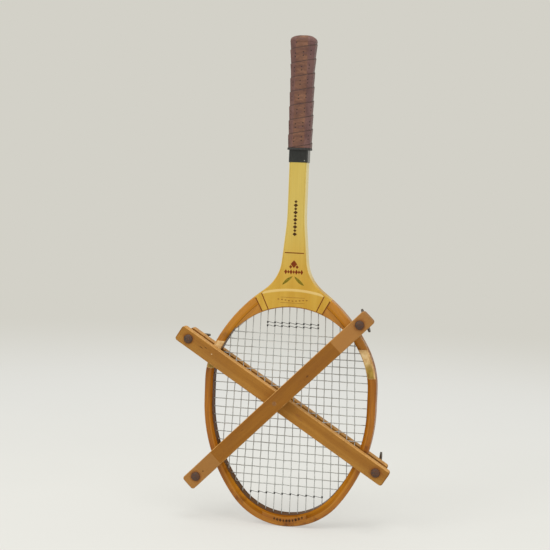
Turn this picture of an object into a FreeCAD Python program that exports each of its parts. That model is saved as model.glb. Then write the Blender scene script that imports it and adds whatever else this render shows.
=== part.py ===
import FreeCAD, Part
import math
import os
from FreeCAD import Placement, Rotation, Vector

# A laminated wooden tennis racket, handle up and head down, held in its four-bar wooden press.
# Frame: +Z runs up the handle, -Y is the front, +X is to the right. y = 0 is the plane of the
# strings. The origin is the lowest point of the head on the racket's own line. Millimetres.

# ---- driving dimensions ------------------------------------------------------------------------

LENGTH = 685.0              # toe of the head to end of the butt
DEPTH = 19.0                # front to back, head and shaft
FACE = DEPTH / 2

# Outer outline of the bow, right half, from the toe up: arcs and lines that run into each other.
HEAD_HALF_WIDTH = 122.0
TOE_RADIUS = 96.0
SIDE_LOW_Z = 172.0          # the side is straight between these two heights
SIDE_HIGH_Z = 200.0
SHOULDER_START = 28.4       # degrees round the upper arc where the shoulder begins
SHOULDER_END = 53.0
SHOULDER_RADIUS = 222.0
NECK_RADIUS = 58.0          # hollow curve from the shoulder into the shaft
SHAFT_TAPER = 5.5           # degrees
SHAFT_HALF_WIDTH = 12.5
SHAFT_START_Z = 431.0
SHAFT_BLEND_RADIUS = 300.0

# The bow is three plies, measured inwards from the outer outline.
OUTER_PLY = 4.0
MIDDLE_PLY = 8.5
INNER_PLY = 12.0
TOE_EXTRA = 4.5             # the innermost ply is this much thicker at the toe
OUTER_EDGE_ROUND = 2.2
INNER_EDGE_ROUND = 1.2
WEDGE_TIP_X = 80.0

# Handle
BAND_Z = (511.0, 528.0)
COLLAR_Z = (528.0, 531.0)
GRIP_Z = (531.0, 676.0)
WOOD_TOP = GRIP_Z[1]
FLARE_START_Z = 636.0
HANDLE_HALF = (14.2, 12.2)          # wood, half width and half depth
HANDLE_BUTT_HALF = (16.0, 13.8)
HANDLE_BEVEL = 0.44                 # share of the half depth that each corner facet takes
LEATHER = 1.5
BUTT_CAP_BASE = 2.0

# Veneers and trim on the faces
VENEER = 0.5
TRIM = 0.15
TRIM_WIDTH = 1.3
VENEER_INSET = 2.4
FIRST_LINE = ((32.0, 303.0), (44.5, 330.0))
SECOND_LINE = ((41.5, 299.5), (53.5, 321.5))
SHAFT_LINE_Z = 386.0
PLAQUE_RISE_Z = 336.0
SHOULDER_VENEER_Z = (218.0, 257.0)
TOE_VENEER_HALF = 34.0

# Strings
STRING = 1.3                # diameter
STRING_HOLE = 2.0
STRING_PLANE = 0.7          # mains lie at -y, crosses at +y
GROOVE_WIDTH = 3.2
GROOVE_DEPTH = 1.6
STRING_SEAT = GROOVE_DEPTH - STRING / 2 - 0.2     # inset of a string's line where it lies in the groove
MAINS_PER_SIDE = 9
MAIN_PITCH_TOP = 10.3       # spacing at MAIN_FAN_TOP_Z
MAIN_PITCH_TOE = 11.4       # spacing at MAIN_FAN_TOE_Z
MAIN_FAN_TOP_Z = 280.0
MAIN_FAN_TOE_Z = 50.0
BLIND_HOLE = 12.0
CROSS_LOW_Z = 57.0
CROSS_PITCH_LOW = 11.7
CROSSES_LOW = 14
CROSS_PITCH_HIGH = 10.3
CROSSES_HIGH = 6
TREBLE_TOP_Z = 284.5
TREBLE_TOP_MAINS = 4
TREBLE_TOE_Z = 44.5
TREBLE_TOE_MAINS = 5
KNOT = (0.8, 1.6, 2.4)      # bore radius, outer radius and height of one wound knot
THREAD = 0.9

# Press
PIVOT = (-14.7, 178.5)      # x and z of the crossing
UNDER_BAR = (-31.7, 7.2)    # degrees from +X, and the bar's middle measured along it from the crossing
OVER_BAR = (45.6, 0.5)
BOLT_AT = 159.7             # from the bar's middle
UNDER_FRONT = (176.5, 23.2) # half length and width
OVER_FRONT = (176.5, 22.2)
BACK = (170.5, 18.0)        # both bars behind the racket
BAR_INNER = 10.3            # distance of the clamping faces from the strings' plane
UNDER_THICK = 12.5
BRIDGE_GAP = 0.3
BRIDGE_THICK = 14.3
END_THICK = 16.0
BRIDGE_HALF = 95.0          # half length of the hollow that straddles the under bar
BRIDGE_RAMP = 9.0
BEVEL_START = 116.0
BEVEL_END = 150.0
BAR_CORNER = 4.0
BAR_EDGE = 0.9

BOLT_RADIUS = 3.0
BOLT_HOLE = 3.25
BOLT_HEAD = (6.4, 3.2)      # radius and height of the dome
BOLT_SQUARE = (6.4, 4.0)    # width and depth of the square neck
BOLT_SPARE = 8.0            # thread that stands past the closed nut
WASHER = (8.0, 3.3, 1.2)    # outer radius, bore radius, thickness
NUT_BORE = 3.08
NUT_HUB = (6.2, 4.4, 8.5)   # base radius, top radius, height
WING_SPAN = 17.5
WING_THICK = 2.8
RIVET_RADIUS = 3.0
RIVET_BORE = 3.06
RIVET_PLATE = (7.0, 0.9)


# ---- small helpers -----------------------------------------------------------------------------

def point(x, z, y=0.0):
    return Vector(x, y, z)


def direction(degrees):
    return Vector(math.cos(math.radians(degrees)), 0, math.sin(math.radians(degrees)))


def arc(centre, radius, start, end):
    ends = [centre + direction(a) * radius for a in (start, (start + end) / 2, end)]
    return Part.Arc(*ends).toShape()


def line(a, b):
    return Part.LineSegment(a, b).toShape()


def crossing(p, p_direction, q, q_direction):
    """Point where two lines in the XZ plane meet."""
    gap = q - p
    cross = p_direction.x * q_direction.z - p_direction.z * q_direction.x
    along = (gap.x * q_direction.z - gap.z * q_direction.x) / cross
    return p + p_direction * along


def mirrored(edges):
    return [edge.mirror(Vector(0, 0, 0), Vector(1, 0, 0)) for edge in edges]


def slab(edges, y_low, y_high):
    """Solid between two planes across y, from edges that close in the plane y = 0."""
    wire = Part.Wire(Part.__sortEdges__(edges))
    face = Part.Face(wire)
    face.translate(Vector(0, y_low, 0))
    return face.extrude(Vector(0, y_high - y_low, 0))


def polygon(points):
    return [line(a, b) for a, b in zip(points, points[1:] + points[:1])]


def box(x, y, z):
    """Box from (low, high) pairs."""
    return Part.makeBox(x[1] - x[0], y[1] - y[0], z[1] - z[0], Vector(x[0], y[0], z[0]))


def rod(start, end, radius):
    along = end - start
    return Part.makeCylinder(radius, along.Length, start, along)


def ring(centre, axis, outer, bore, height):
    solid = Part.makeCylinder(outer, height, centre, axis)
    return solid.cut(Part.makeCylinder(bore, height, centre, axis))


def write(name, shape):
    shape.exportStep("parts/" + name + ".step")
    print(name, len(shape.Solids), "solids", round(shape.Volume, 1), "mm3", shape.isValid())


# ---- outline of the bow ------------------------------------------------------------------------

def toe_arc(inset):
    """Centre and radius of the toe at that inset; the inner ply thickens there."""
    lift = TOE_EXTRA * max(0.0, (inset - MIDDLE_PLY) / (INNER_PLY - MIDDLE_PLY))
    return point(0, TOE_RADIUS + lift), TOE_RADIUS - inset


def side_arc(inset):
    """Centre, radius and lowest angle of the side at that inset, running smoothly into the toe."""
    toe_centre, toe_radius = toe_arc(inset)
    reach = SIDE_LOW_Z - toe_centre.z
    w = HEAD_HALF_WIDTH - inset
    radius = (w * w + reach * reach - toe_radius ** 2) / (2 * (w - toe_radius))
    angle = -math.degrees(math.atan2(reach, radius - w))
    return point(w - radius, SIDE_LOW_Z), radius, angle


def head_edges(inset):
    """Right half of the head, from the toe to the start of the shoulder."""
    side_centre, side_radius, toe_angle = side_arc(inset)
    x = HEAD_HALF_WIDTH - inset
    return [
        arc(*toe_arc(inset), -90, toe_angle),
        arc(side_centre, side_radius, toe_angle, 0),
        line(point(x, SIDE_LOW_Z), point(x, SIDE_HIGH_Z)),
        arc(point(0, SIDE_HIGH_Z), x, 0, SHOULDER_START)]


def neck_edges(inset, top):
    """Right side from the start of the shoulder, down into the neck and along the shaft."""
    shoulder_centre = (point(0, SIDE_HIGH_Z)
                       + direction(SHOULDER_START) * (HEAD_HALF_WIDTH - SHOULDER_RADIUS))
    shoulder_end = shoulder_centre + direction(SHOULDER_END) * (SHOULDER_RADIUS - inset)
    slope = SHOULDER_END + 90
    taper = 90 + SHAFT_TAPER
    taper_point = point(SHAFT_HALF_WIDTH, SHAFT_START_Z) + direction(taper + 90) * inset
    corner = crossing(shoulder_end, direction(slope), taper_point, direction(taper))
    neck_radius = NECK_RADIUS + inset
    neck_reach = neck_radius * math.tan(math.radians((slope - taper) / 2))
    neck_start = corner - direction(slope) * neck_reach
    neck_end = corner + direction(taper) * neck_reach
    neck_centre = neck_start - direction(slope + 90) * neck_radius
    shaft_x = SHAFT_HALF_WIDTH - inset
    bend = crossing(taper_point, direction(taper), point(shaft_x, 0), direction(90))
    blend_radius = SHAFT_BLEND_RADIUS + inset
    blend_reach = blend_radius * math.tan(math.radians(SHAFT_TAPER / 2))
    blend_start = bend - direction(taper) * blend_reach
    blend_end = bend + direction(90) * blend_reach
    blend_centre = blend_start - direction(taper + 90) * blend_radius
    return [
        arc(shoulder_centre, SHOULDER_RADIUS - inset, SHOULDER_START, SHOULDER_END),
        line(shoulder_end, neck_start),
        arc(neck_centre, neck_radius, slope + 90, taper + 90),
        line(neck_end, blend_start),
        arc(blend_centre, blend_radius, taper + 90, 180),
        line(blend_end, point(shaft_x, top))]


def bow_edges(inset, top):
    right = head_edges(inset) + neck_edges(inset, top)
    return right + mirrored(right)


def racket_blank(inset, y_low, y_high, top=SHAFT_START_Z + 240):
    """The whole outline, head filled in, as one slab."""
    shaft_x = SHAFT_HALF_WIDTH - inset
    edges = bow_edges(inset, top) + [line(point(shaft_x, top), point(-shaft_x, top))]
    return slab(edges, y_low, y_high)


# ---- strings: where they run -------------------------------------------------------------------

def main_x(index, z):
    """x of main string 1, 2, ... at height z, on the right."""
    share = (MAIN_FAN_TOP_Z - z) / (MAIN_FAN_TOP_Z - MAIN_FAN_TOE_Z)
    pitch = MAIN_PITCH_TOP + (MAIN_PITCH_TOE - MAIN_PITCH_TOP) * share
    return (index - 0.5) * pitch


def cross_heights():
    low = [CROSS_LOW_Z + CROSS_PITCH_LOW * i for i in range(CROSSES_LOW)]
    high = [low[-1] + CROSS_PITCH_HIGH * (i + 1) for i in range(CROSSES_HIGH)]
    return low + high


def outline_x(z, inset):
    """Half width of the head at height z, measured on the outline at that inset."""
    toe_centre, toe_radius = toe_arc(inset)
    side_centre, side_radius, toe_angle = side_arc(inset)
    if z < toe_centre.z + toe_radius * math.sin(math.radians(toe_angle)):
        return math.sqrt(toe_radius ** 2 - (z - toe_centre.z) ** 2)
    if z < SIDE_LOW_Z:
        return side_centre.x + math.sqrt(side_radius ** 2 - (z - SIDE_LOW_Z) ** 2)
    if z < SIDE_HIGH_Z:
        return HEAD_HALF_WIDTH - inset
    shoulder_top = SIDE_HIGH_Z + (HEAD_HALF_WIDTH - inset) * math.sin(math.radians(SHOULDER_START))
    if z < shoulder_top:
        return math.sqrt((HEAD_HALF_WIDTH - inset) ** 2 - (z - SIDE_HIGH_Z) ** 2)
    centre = (point(0, SIDE_HIGH_Z)
              + direction(SHOULDER_START) * (HEAD_HALF_WIDTH - SHOULDER_RADIUS))
    return centre.x + math.sqrt((SHOULDER_RADIUS - inset) ** 2 - (z - centre.z) ** 2)


def main_toe_z(index, inset):
    """Height where a main string meets the lower outline at that inset."""
    toe_centre, toe_radius = toe_arc(inset)
    low, high = toe_centre.z - toe_radius, SIDE_LOW_Z
    for _ in range(50):
        middle = (low + high) / 2
        if outline_x(middle, inset) < main_x(index, middle):
            low = middle
        else:
            high = middle
    return high


def main_top_z(index):
    """Height where a main string meets the arch of the throat."""
    radius = HEAD_HALF_WIDTH - INNER_PLY
    z = MAIN_FAN_TOP_Z
    for _ in range(30):
        z = SIDE_HIGH_Z + math.sqrt(radius ** 2 - main_x(index, z) ** 2)
    return z


def main_ends(index, side, seat=STRING_SEAT, blind=BLIND_HOLE - 1.0):
    low_z = main_toe_z(index, seat)
    high_z = main_top_z(index) + blind
    low = point(side * main_x(index, low_z), low_z, -STRING_PLANE)
    high = point(side * main_x(index, high_z), high_z, -STRING_PLANE)
    return low, high


def cross_ends(z, seat=STRING_SEAT):
    x = outline_x(z, seat)
    return point(-x, z, STRING_PLANE), point(x, z, STRING_PLANE)


def string_holes():
    """Drills for every string hole in the head."""
    drills = []
    for index in range(1, MAINS_PER_SIDE + 1):
        for side in (-1, 1):
            low, high = main_ends(index, side, blind=BLIND_HOLE)
            along = (high - low).normalize()
            wall = main_toe_z(index, INNER_PLY + 4) - low.z
            drills.append(rod(low - along * 6, low + along * wall, STRING_HOLE / 2))
            drills.append(rod(high, high - along * (BLIND_HOLE + 4), STRING_HOLE / 2))
    for z in cross_heights():
        for end in cross_ends(z):
            outward = Vector(math.copysign(1, end.x), 0, 0)
            inner_x = outline_x(z, INNER_PLY + 3)
            inner = point(math.copysign(inner_x, end.x), z, STRING_PLANE)
            drills.append(rod(end + outward * 6, inner, STRING_HOLE / 2))
    return drills


# ---- bow, throat and shaft ---------------------------------------------------------------------

def bow_ply(outer_inset, inner_inset):
    """One bent ply: up one side of the shaft, round the head and back along the other side."""
    closing = [line(point(side * (SHAFT_HALF_WIDTH - outer_inset), WOOD_TOP),
                    point(side * (SHAFT_HALF_WIDTH - inner_inset), WOOD_TOP)) for side in (-1, 1)]
    edges = bow_edges(outer_inset, WOOD_TOP) + bow_edges(inner_inset, WOOD_TOP) + closing
    return slab(edges, -FACE, FACE)


def long_face_edges(solid, inset):
    """Front and back edges of a ply that lie on the outline at that inset."""
    outline = Part.Compound(bow_edges(inset, WOOD_TOP))
    found = []
    for edge in solid.Edges:
        middle = edge.valueAt((edge.FirstParameter + edge.LastParameter) / 2)
        on_face = abs(abs(middle.y) - FACE) < 1e-6
        if not on_face or abs(edge.BoundBox.YLength) > 1e-6:
            continue
        flat = Part.Vertex(middle.x, 0, middle.z)
        if outline.distToShape(flat)[0] < 1e-3:
            found.append(edge)
    return found


def groove():
    """Channel round the outside of the head, in which the strings' outer runs lie."""
    top = SIDE_HIGH_Z + 88
    filled = racket_blank(-3, -GROOVE_WIDTH / 2, GROOVE_WIDTH / 2)
    core = racket_blank(GROOVE_DEPTH, -GROOVE_WIDTH, GROOVE_WIDTH)
    head_zone = box((-200, 200), (-20, 20), (-20, top))
    return filled.cut(core).common(head_zone)


def make_bow(drills):
    outer = bow_ply(0, OUTER_PLY)
    outer = outer.makeFillet(OUTER_EDGE_ROUND, long_face_edges(outer, 0))
    write("bow_outer_ply", outer.cut([groove()] + drills))
    write("bow_middle_ply", bow_ply(OUTER_PLY, MIDDLE_PLY).cut(drills))
    inner = bow_ply(MIDDLE_PLY, INNER_PLY)
    inner = inner.makeFillet(INNER_EDGE_ROUND, long_face_edges(inner, INNER_PLY))
    write("bow_inner_ply", inner.cut(drills))


def arch_cutter(radius):
    """Cutters for the arch over the strings, with a small chamfer along both faces."""
    soft = INNER_EDGE_ROUND / 2
    start = point(0, SIDE_HIGH_Z, -DEPTH)
    barrel = Part.makeCylinder(radius, 2 * DEPTH, start, Vector(0, 1, 0))
    flares = []
    for side in (-1, 1):
        tip = point(0, SIDE_HIGH_Z, side * (FACE - soft))
        flares.append(Part.makeCone(radius, radius + 2 * soft, 2 * soft, tip, Vector(0, side, 0)))
    return [barrel] + flares


def make_wedge(drills):
    """Block that fills the fork between the two legs of the bow, above the strings."""
    inside = racket_blank(INNER_PLY, -FACE, FACE, SHAFT_START_Z + 30)
    zone = box((-WEDGE_TIP_X, WEDGE_TIP_X), (-DEPTH, DEPTH), (SIDE_HIGH_Z + 20, SHAFT_START_Z))
    wedge = inside.common(zone).cut(arch_cutter(HEAD_HALF_WIDTH - INNER_PLY))
    write("throat_wedge", wedge.cut(drills))


def make_centre_strip():
    half = SHAFT_HALF_WIDTH - INNER_PLY
    write("shaft_centre_strip", box((-half, half), (-FACE, FACE), (SHAFT_START_Z, WOOD_TOP)))


# ---- veneers and trim on the faces -------------------------------------------------------------

def on_face(front, thickness, base=0.0):
    """y range of a layer glued on the front or back face."""
    if front:
        return -FACE - base - thickness, -FACE - base
    return FACE + base, FACE + base + thickness


def throat_region(line_points, y_range, top):
    """Outline between two mirrored slanting lines, from the arch up to a height."""
    (low_x, low_z), (high_x, high_z) = line_points
    blank = racket_blank(VENEER_INSET, y_range[0], y_range[1], top)
    run = Vector(high_x - low_x, 0, high_z - low_z)
    below = point(low_x, low_z) - run * 2
    above = point(high_x, high_z) + run * 2
    corners = [below, above, point(above.x, top + 20), point(-above.x, top + 20),
               point(-above.x, above.z), point(-below.x, below.z)]
    zone = slab(polygon(corners), y_range[0] - 1, y_range[1] + 1)
    radius = HEAD_HALF_WIDTH - INNER_PLY + INNER_EDGE_ROUND
    hollow = Part.makeCylinder(radius, 80, point(0, SIDE_HIGH_Z, -40), Vector(0, 1, 0))
    lower = box((-200, 200), (-40, 40), (-40, SIDE_HIGH_Z + 60))
    return blank.common(zone).cut(hollow).cut(lower)


def make_throat_veneers():
    for name, front in (("throat_veneer_front", True), ("throat_veneer_back", False)):
        write(name, throat_region(SECOND_LINE, on_face(front, VENEER), BAND_Z[0]))


def make_plaque():
    """Raised panel over the arch, with a bowed upper edge."""
    y_range = on_face(True, TRIM, VENEER)
    region = throat_region(FIRST_LINE, y_range, SHAFT_START_Z)
    (_, _), (end_x, end_z) = FIRST_LINE
    rise = PLAQUE_RISE_Z - end_z
    radius = (end_x ** 2 + rise ** 2) / (2 * rise)
    disc = Part.makeCylinder(radius, 80, point(0, PLAQUE_RISE_Z - radius, -40), Vector(0, 1, 0))
    write("throat_plaque", region.common(disc))


def strip(a, b, width, y_range):
    """Straight trim line from a to b in the face."""
    along = (b - a).normalize()
    side = Vector(-along.z, 0, along.x) * (width / 2)
    return slab(polygon([a - side, b - side, b + side, a + side]), *y_range)


def make_trim_lines():
    for name, front in (("trim_lines_front", True), ("trim_lines_back", False)):
        y_range = on_face(front, TRIM, VENEER)
        zone = throat_region(SECOND_LINE, y_range, SHAFT_START_Z)
        strips = []
        for low, high in (FIRST_LINE, SECOND_LINE):
            run = point(high[0] - low[0], high[1] - low[1]).normalize()
            # the outer line lies just inside the veneer's edge, the inner one just outside the plaque
            shift = Vector(run.z, 0, -run.x) * (TRIM_WIDTH / 2 + 0.05)
            if low == SECOND_LINE[0]:
                shift = shift * -1
            for side in (1, -1):
                a = point(*low) + shift - run * 30
                b = point(*high) + shift + run * 30
                if side < 0:
                    a = point(-a.x, a.z)
                    b = point(-b.x, b.z)
                strips.append(strip(a, b, TRIM_WIDTH, y_range).common(zone))
        half = SHAFT_HALF_WIDTH + 1
        shaft_strip = strip(point(-half, SHAFT_LINE_Z), point(half, SHAFT_LINE_Z), TRIM_WIDTH, y_range)
        strips.append(shaft_strip.common(zone))
        write(name, Part.Compound([solid for piece in strips for solid in piece.Solids]))


def head_veneer(zone, y_range):
    outer = racket_blank(VENEER_INSET, *y_range)
    inner = racket_blank(INNER_PLY - INNER_EDGE_ROUND, y_range[0] - 1, y_range[1] + 1)
    return outer.cut(inner).common(zone)


def make_head_veneers():
    low, high = SHOULDER_VENEER_Z
    for name, side in (("shoulder_veneer_left", -1), ("shoulder_veneer_right", 1)):
        layers = []
        for front in (True, False):
            corners = [point(side * 60, low - 1), point(side * 150, low + 1),
                       point(side * 150, high + 4), point(side * 60, high - 3)]
            y_range = on_face(front, VENEER)
            layers.append(head_veneer(slab(polygon(corners), y_range[0] - 1, y_range[1] + 1), y_range))
        write(name, Part.Compound([solid for layer in layers for solid in layer.Solids]))
    y_range = on_face(True, VENEER)
    half = TOE_VENEER_HALF
    corners = [point(-half, -5), point(half, -5), point(half - 5, 40), point(5 - half, 40)]
    zone = slab(polygon(corners), y_range[0] - 1, y_range[1] + 1)
    write("toe_veneer", head_veneer(zone, y_range))


# ---- handle ------------------------------------------------------------------------------------

def octagon(half_width, half_depth, z):
    bevel = HANDLE_BEVEL * half_depth
    quarter = [(half_width, half_depth - bevel), (half_width - bevel, half_depth)]
    corners = quarter + [(-x, y) for x, y in reversed(quarter)]
    corners += [(-x, -y) for x, y in quarter] + [(x, -y) for x, y in reversed(quarter)]
    points = [Vector(x, y, z) for x, y in corners]
    return Part.Wire([line(a, b) for a, b in zip(points, points[1:] + points[:1])])


def handle_form(extra, low, high):
    """Octagonal handle that flares towards the butt, grown by `extra` all round."""
    narrow = (HANDLE_HALF[0] + extra, HANDLE_HALF[1] + extra)
    wide = (HANDLE_BUTT_HALF[0] + extra, HANDLE_BUTT_HALF[1] + extra)
    straight = Part.makeLoft([octagon(*narrow, low), octagon(*narrow, FLARE_START_Z)], True, True)
    flare = Part.makeLoft([octagon(*narrow, FLARE_START_Z), octagon(*wide, high)], True, True)
    return straight.fuse(flare).removeSplitter()


def make_handle():
    wood = handle_form(0, *GRIP_Z)
    far = 60
    heights = (GRIP_Z[0] - 5, GRIP_Z[1] + 5)
    side = SHAFT_HALF_WIDTH
    write("pallet_right", wood.common(box((side, far), (-FACE, FACE), heights)))
    write("pallet_left", wood.common(box((-far, -side), (-FACE, FACE), heights)))
    write("pallet_front", wood.common(box((-far, far), (-far, -FACE), heights)))
    write("pallet_back", wood.common(box((-far, far), (FACE, far), heights)))
    leather = handle_form(LEATHER, *GRIP_Z).cut(wood)
    write("grip_leather", leather)


def make_collar_and_band():
    shaft = box((-SHAFT_HALF_WIDTH, SHAFT_HALF_WIDTH), (-FACE, FACE), (BAND_Z[0] - 5, COLLAR_Z[1] + 5))
    wide = HANDLE_HALF[0] + LEATHER + 0.3
    deep = HANDLE_HALF[1] + LEATHER + 0.3
    collar = Part.makeLoft([octagon(wide, deep, COLLAR_Z[0]), octagon(wide, deep, COLLAR_Z[1])], True, True)
    collar = collar.makeFillet(0.6, [e for e in collar.Edges if abs(e.BoundBox.ZLength) < 1e-6])
    write("grip_collar", collar.cut(shaft))
    thick = 0.8
    band = box((-SHAFT_HALF_WIDTH - thick, SHAFT_HALF_WIDTH + thick), (-FACE - thick, FACE + thick), BAND_Z)
    upright = [e for e in band.Edges if e.BoundBox.ZLength > 5]
    band = band.makeFillet(2.0, upright)
    write("shaft_band", band.cut(shaft))


def make_butt():
    """Butt cap: a flat base the shape of the handle's end, then a dome with a small flat top."""
    wide = HANDLE_BUTT_HALF[0] + LEATHER
    deep = HANDLE_BUTT_HALF[1] + LEATHER
    low = GRIP_Z[1]
    rim = low + BUTT_CAP_BASE
    levels = [(1.0, low), (1.0, rim), (0.88, rim + 2.6), (0.66, rim + 4.9), (0.40, LENGTH)]
    solid = None
    for (a, za), (b, zb) in zip(levels, levels[1:]):
        piece = Part.makeLoft([octagon(wide * a, deep * a, za), octagon(wide * b, deep * b, zb)],
                              True, True)
        solid = piece if solid is None else solid.fuse(piece)
    solid = solid.removeSplitter()
    tacks = []
    for x in (-9.5, 9.5):
        pin = rod(Vector(x, 0, low), Vector(x, 0, rim + 4.2), 0.8)
        head = rod(Vector(x, 0, rim + 4.2), Vector(x, 0, rim + 5.2), 2.2)
        tacks.append(pin.fuse(head))
    write("butt_cap", solid.cut(tacks))
    write("butt_tacks", Part.Compound(tacks))


# ---- strings -----------------------------------------------------------------------------------

def string_pipe(points):
    """Round string along straight runs with mitred corners."""
    path = Part.Wire([line(a, b) for a, b in zip(points, points[1:])])
    first = (points[1] - points[0]).normalize()
    profile = Part.Wire(Part.makeCircle(STRING / 2, points[0], first))
    return path.makePipeShell([profile], True, False, 1)


def make_main_strings():
    """Mains in pairs that share one run round the outside of the toe."""
    pairs = []
    left_low, left_high = main_ends(1, -1)
    right_low, right_high = main_ends(1, 1)
    pairs.append([left_high, left_low, right_low, right_high])
    for side in (-1, 1):
        for index in range(2, MAINS_PER_SIDE, 2):
            low_a, high_a = main_ends(index, side)
            low_b, high_b = main_ends(index + 1, side)
            pairs.append([high_a, low_a, low_b, high_b])
    write("main_strings", Part.Compound([string_pipe(points) for points in pairs]))


def make_cross_strings():
    """Crosses in one length that turns back outside the head at alternate sides."""
    route = []
    for number, z in enumerate(cross_heights()):
        left, right = cross_ends(z)
        route += [left, right] if number % 2 == 0 else [right, left]
    write("cross_strings", string_pipe(route))


def make_trebling():
    """Fine thread knotted to each of the middle mains, near the throat and near the toe."""
    bore, outer, height = KNOT
    for name, z, count in (("trebling_throat", TREBLE_TOP_Z, TREBLE_TOP_MAINS),
                           ("trebling_toe", TREBLE_TOE_Z, TREBLE_TOE_MAINS)):
        xs = sorted(side * main_x(index, z) for index in range(1, count + 1) for side in (-1, 1))
        up = Vector(0, 0, 1)
        chain = None
        for x in xs:
            knot = Part.makeCylinder(outer, height, point(x, z - height / 2, -STRING_PLANE), up)
            chain = knot if chain is None else chain.fuse(knot)
        for a, b in zip(xs, xs[1:]):
            chain = chain.fuse(rod(point(a, z, -STRING_PLANE), point(b, z, -STRING_PLANE), THREAD / 2))
        bores = [Part.makeCylinder(bore + 0.05, height + 2, point(x, z - height / 2 - 1, -STRING_PLANE), up)
                 for x in xs]
        write(name, chain.cut(bores))


# ---- press -------------------------------------------------------------------------------------

def place(shape, bar, back=False):
    """Move a piece made along +X round its bar's middle to that bar's place on the press."""
    angle, middle = bar
    moved = shape.copy()
    if back:
        moved = moved.mirror(Vector(0, 0, 0), Vector(0, 1, 0))
    moved.translate(Vector(middle, 0, 0))
    turn = Placement(point(*PIVOT), Rotation(Vector(0, -1, 0), angle))
    moved.Placement = turn.multiply(moved.Placement)
    return moved


def holes(radius):
    """Drills along y for the two bolts of a bar."""
    return [rod(Vector(s, -60, 0), Vector(s, 60, 0), radius) for s in (-BOLT_AT, BOLT_AT)]


def square_necks(front_y):
    width, deep = BOLT_SQUARE
    half = width / 2
    return [box((s - half, s + half), (front_y - 1, front_y + deep), (-half, half))
            for s in (-BOLT_AT, BOLT_AT)]


def soften(bar, half_length, width):
    """Round the bar's upright end corners, then break its long edges."""
    corners = [e for e in bar.Edges
               if e.BoundBox.YLength > 5 and e.BoundBox.XLength < 1e-6 and e.BoundBox.ZLength < 1e-6
               and abs(abs(e.BoundBox.Center.x) - half_length) < 1e-6]
    bar = bar.makeFillet(BAR_CORNER, corners)
    long_edges = [e for e in bar.Edges
                  if abs(abs(e.BoundBox.Center.z) - width / 2) < 1e-6 and e.BoundBox.XLength > 20]
    return bar.makeChamfer(BAR_EDGE, long_edges)


def under_bar(half_length, width):
    """Plain bar next to the racket, made on the front side."""
    y_front = -BAR_INNER - UNDER_THICK
    bar = box((-half_length, half_length), (y_front, -BAR_INNER), (-width / 2, width / 2))
    return soften(bar, half_length, width)


def over_bar(half_length, width):
    """Bar that bridges the under bar: hollowed behind, bevelled down to its ends in front."""
    y_bridge = -BAR_INNER - UNDER_THICK - BRIDGE_GAP
    y_top = y_bridge - BRIDGE_THICK
    y_end = -BAR_INNER - END_THICK
    right = [(BRIDGE_HALF, y_bridge), (BRIDGE_HALF + BRIDGE_RAMP, -BAR_INNER), (half_length, -BAR_INNER),
             (half_length, y_end), (BEVEL_END, y_end), (BEVEL_START, y_top)]
    left = [(-s, y) for s, y in reversed(right)]
    corners = [Vector(s, y, -width / 2) for s, y in right + left]
    face = Part.Face(Part.Wire([line(a, b) for a, b in zip(corners, corners[1:] + corners[:1])]))
    return soften(face.extrude(Vector(0, 0, width)), half_length, width)


def carriage_bolts(front_y, back_y):
    """Two domed, square-necked bolts, from the front bar's face to past the closed nut."""
    bolts = []
    head_radius, head_height = BOLT_HEAD
    width, deep = BOLT_SQUARE
    half = width / 2
    dome_radius = (head_radius ** 2 + head_height ** 2) / (2 * head_height)
    end_y = back_y + WASHER[2] + NUT_HUB[2] + BOLT_SPARE
    for s in (-BOLT_AT, BOLT_AT):
        dome = Part.makeSphere(dome_radius, Vector(s, front_y - head_height + dome_radius, 0))
        dome = dome.common(rod(Vector(s, front_y - head_height - 1, 0), Vector(s, front_y, 0), head_radius))
        neck = box((s - half, s + half), (front_y, front_y + deep), (-half, half))
        shank = rod(Vector(s, front_y, 0), Vector(s, end_y, 0), BOLT_RADIUS)
        tip = [e for e in shank.Edges if abs(e.BoundBox.Center.y - end_y) < 1e-6 and e.BoundBox.XLength > 1]
        shank = shank.makeChamfer(0.7, tip)
        bolts.append(dome.fuse(neck).fuse(shank))
    return Part.Compound(bolts)


def washers(back_y):
    outer, bore, thick = WASHER
    axis = Vector(0, 1, 0)
    return Part.Compound([ring(Vector(s, back_y, 0), axis, outer, bore, thick) for s in (-BOLT_AT, BOLT_AT)])


def wing_nut(s, back_y, turned):
    """Tapered hub with two rounded ears, its wings turned by some degrees about the bolt."""
    base, top, height = NUT_HUB
    foot_y = back_y + WASHER[2]
    hub = Part.makeCone(base, top, height, Vector(0, 0, 0), Vector(0, 1, 0))
    ear_centre = WING_SPAN - 6.5
    ear = rod(Vector(ear_centre, 9.5, -WING_THICK / 2), Vector(ear_centre, 9.5, WING_THICK / 2), 6.5)
    web = [Vector(0, 1.5, 0), Vector(ear_centre - 1.5, 3.2, 0), Vector(ear_centre + 5.5, 6.2, 0),
           Vector(ear_centre + 1.5, 15.8, 0), Vector(0, height - 1, 0)]
    web_face = Part.Face(Part.Wire([line(a, b) for a, b in zip(web, web[1:] + web[:1])]))
    web_face.translate(Vector(0, 0, -WING_THICK / 2))
    wing = ear.fuse(web_face.extrude(Vector(0, 0, WING_THICK)))
    other = wing.mirror(Vector(0, 0, 0), Vector(1, 0, 0))
    nut = hub.fuse(wing).fuse(other).removeSplitter()
    nut = nut.cut(rod(Vector(0, -1, 0), Vector(0, 30, 0), NUT_BORE))
    nut.Placement = Placement(Vector(s, foot_y, 0), Rotation(Vector(0, 1, 0), turned))
    return nut


def pivot_rod(bar, y_low, y_high, radius):
    """Rod along y through the crossing, in that bar's own coordinates."""
    _, middle = bar
    return rod(Vector(-middle, y_low, 0), Vector(-middle, y_high, 0), radius)


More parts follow.
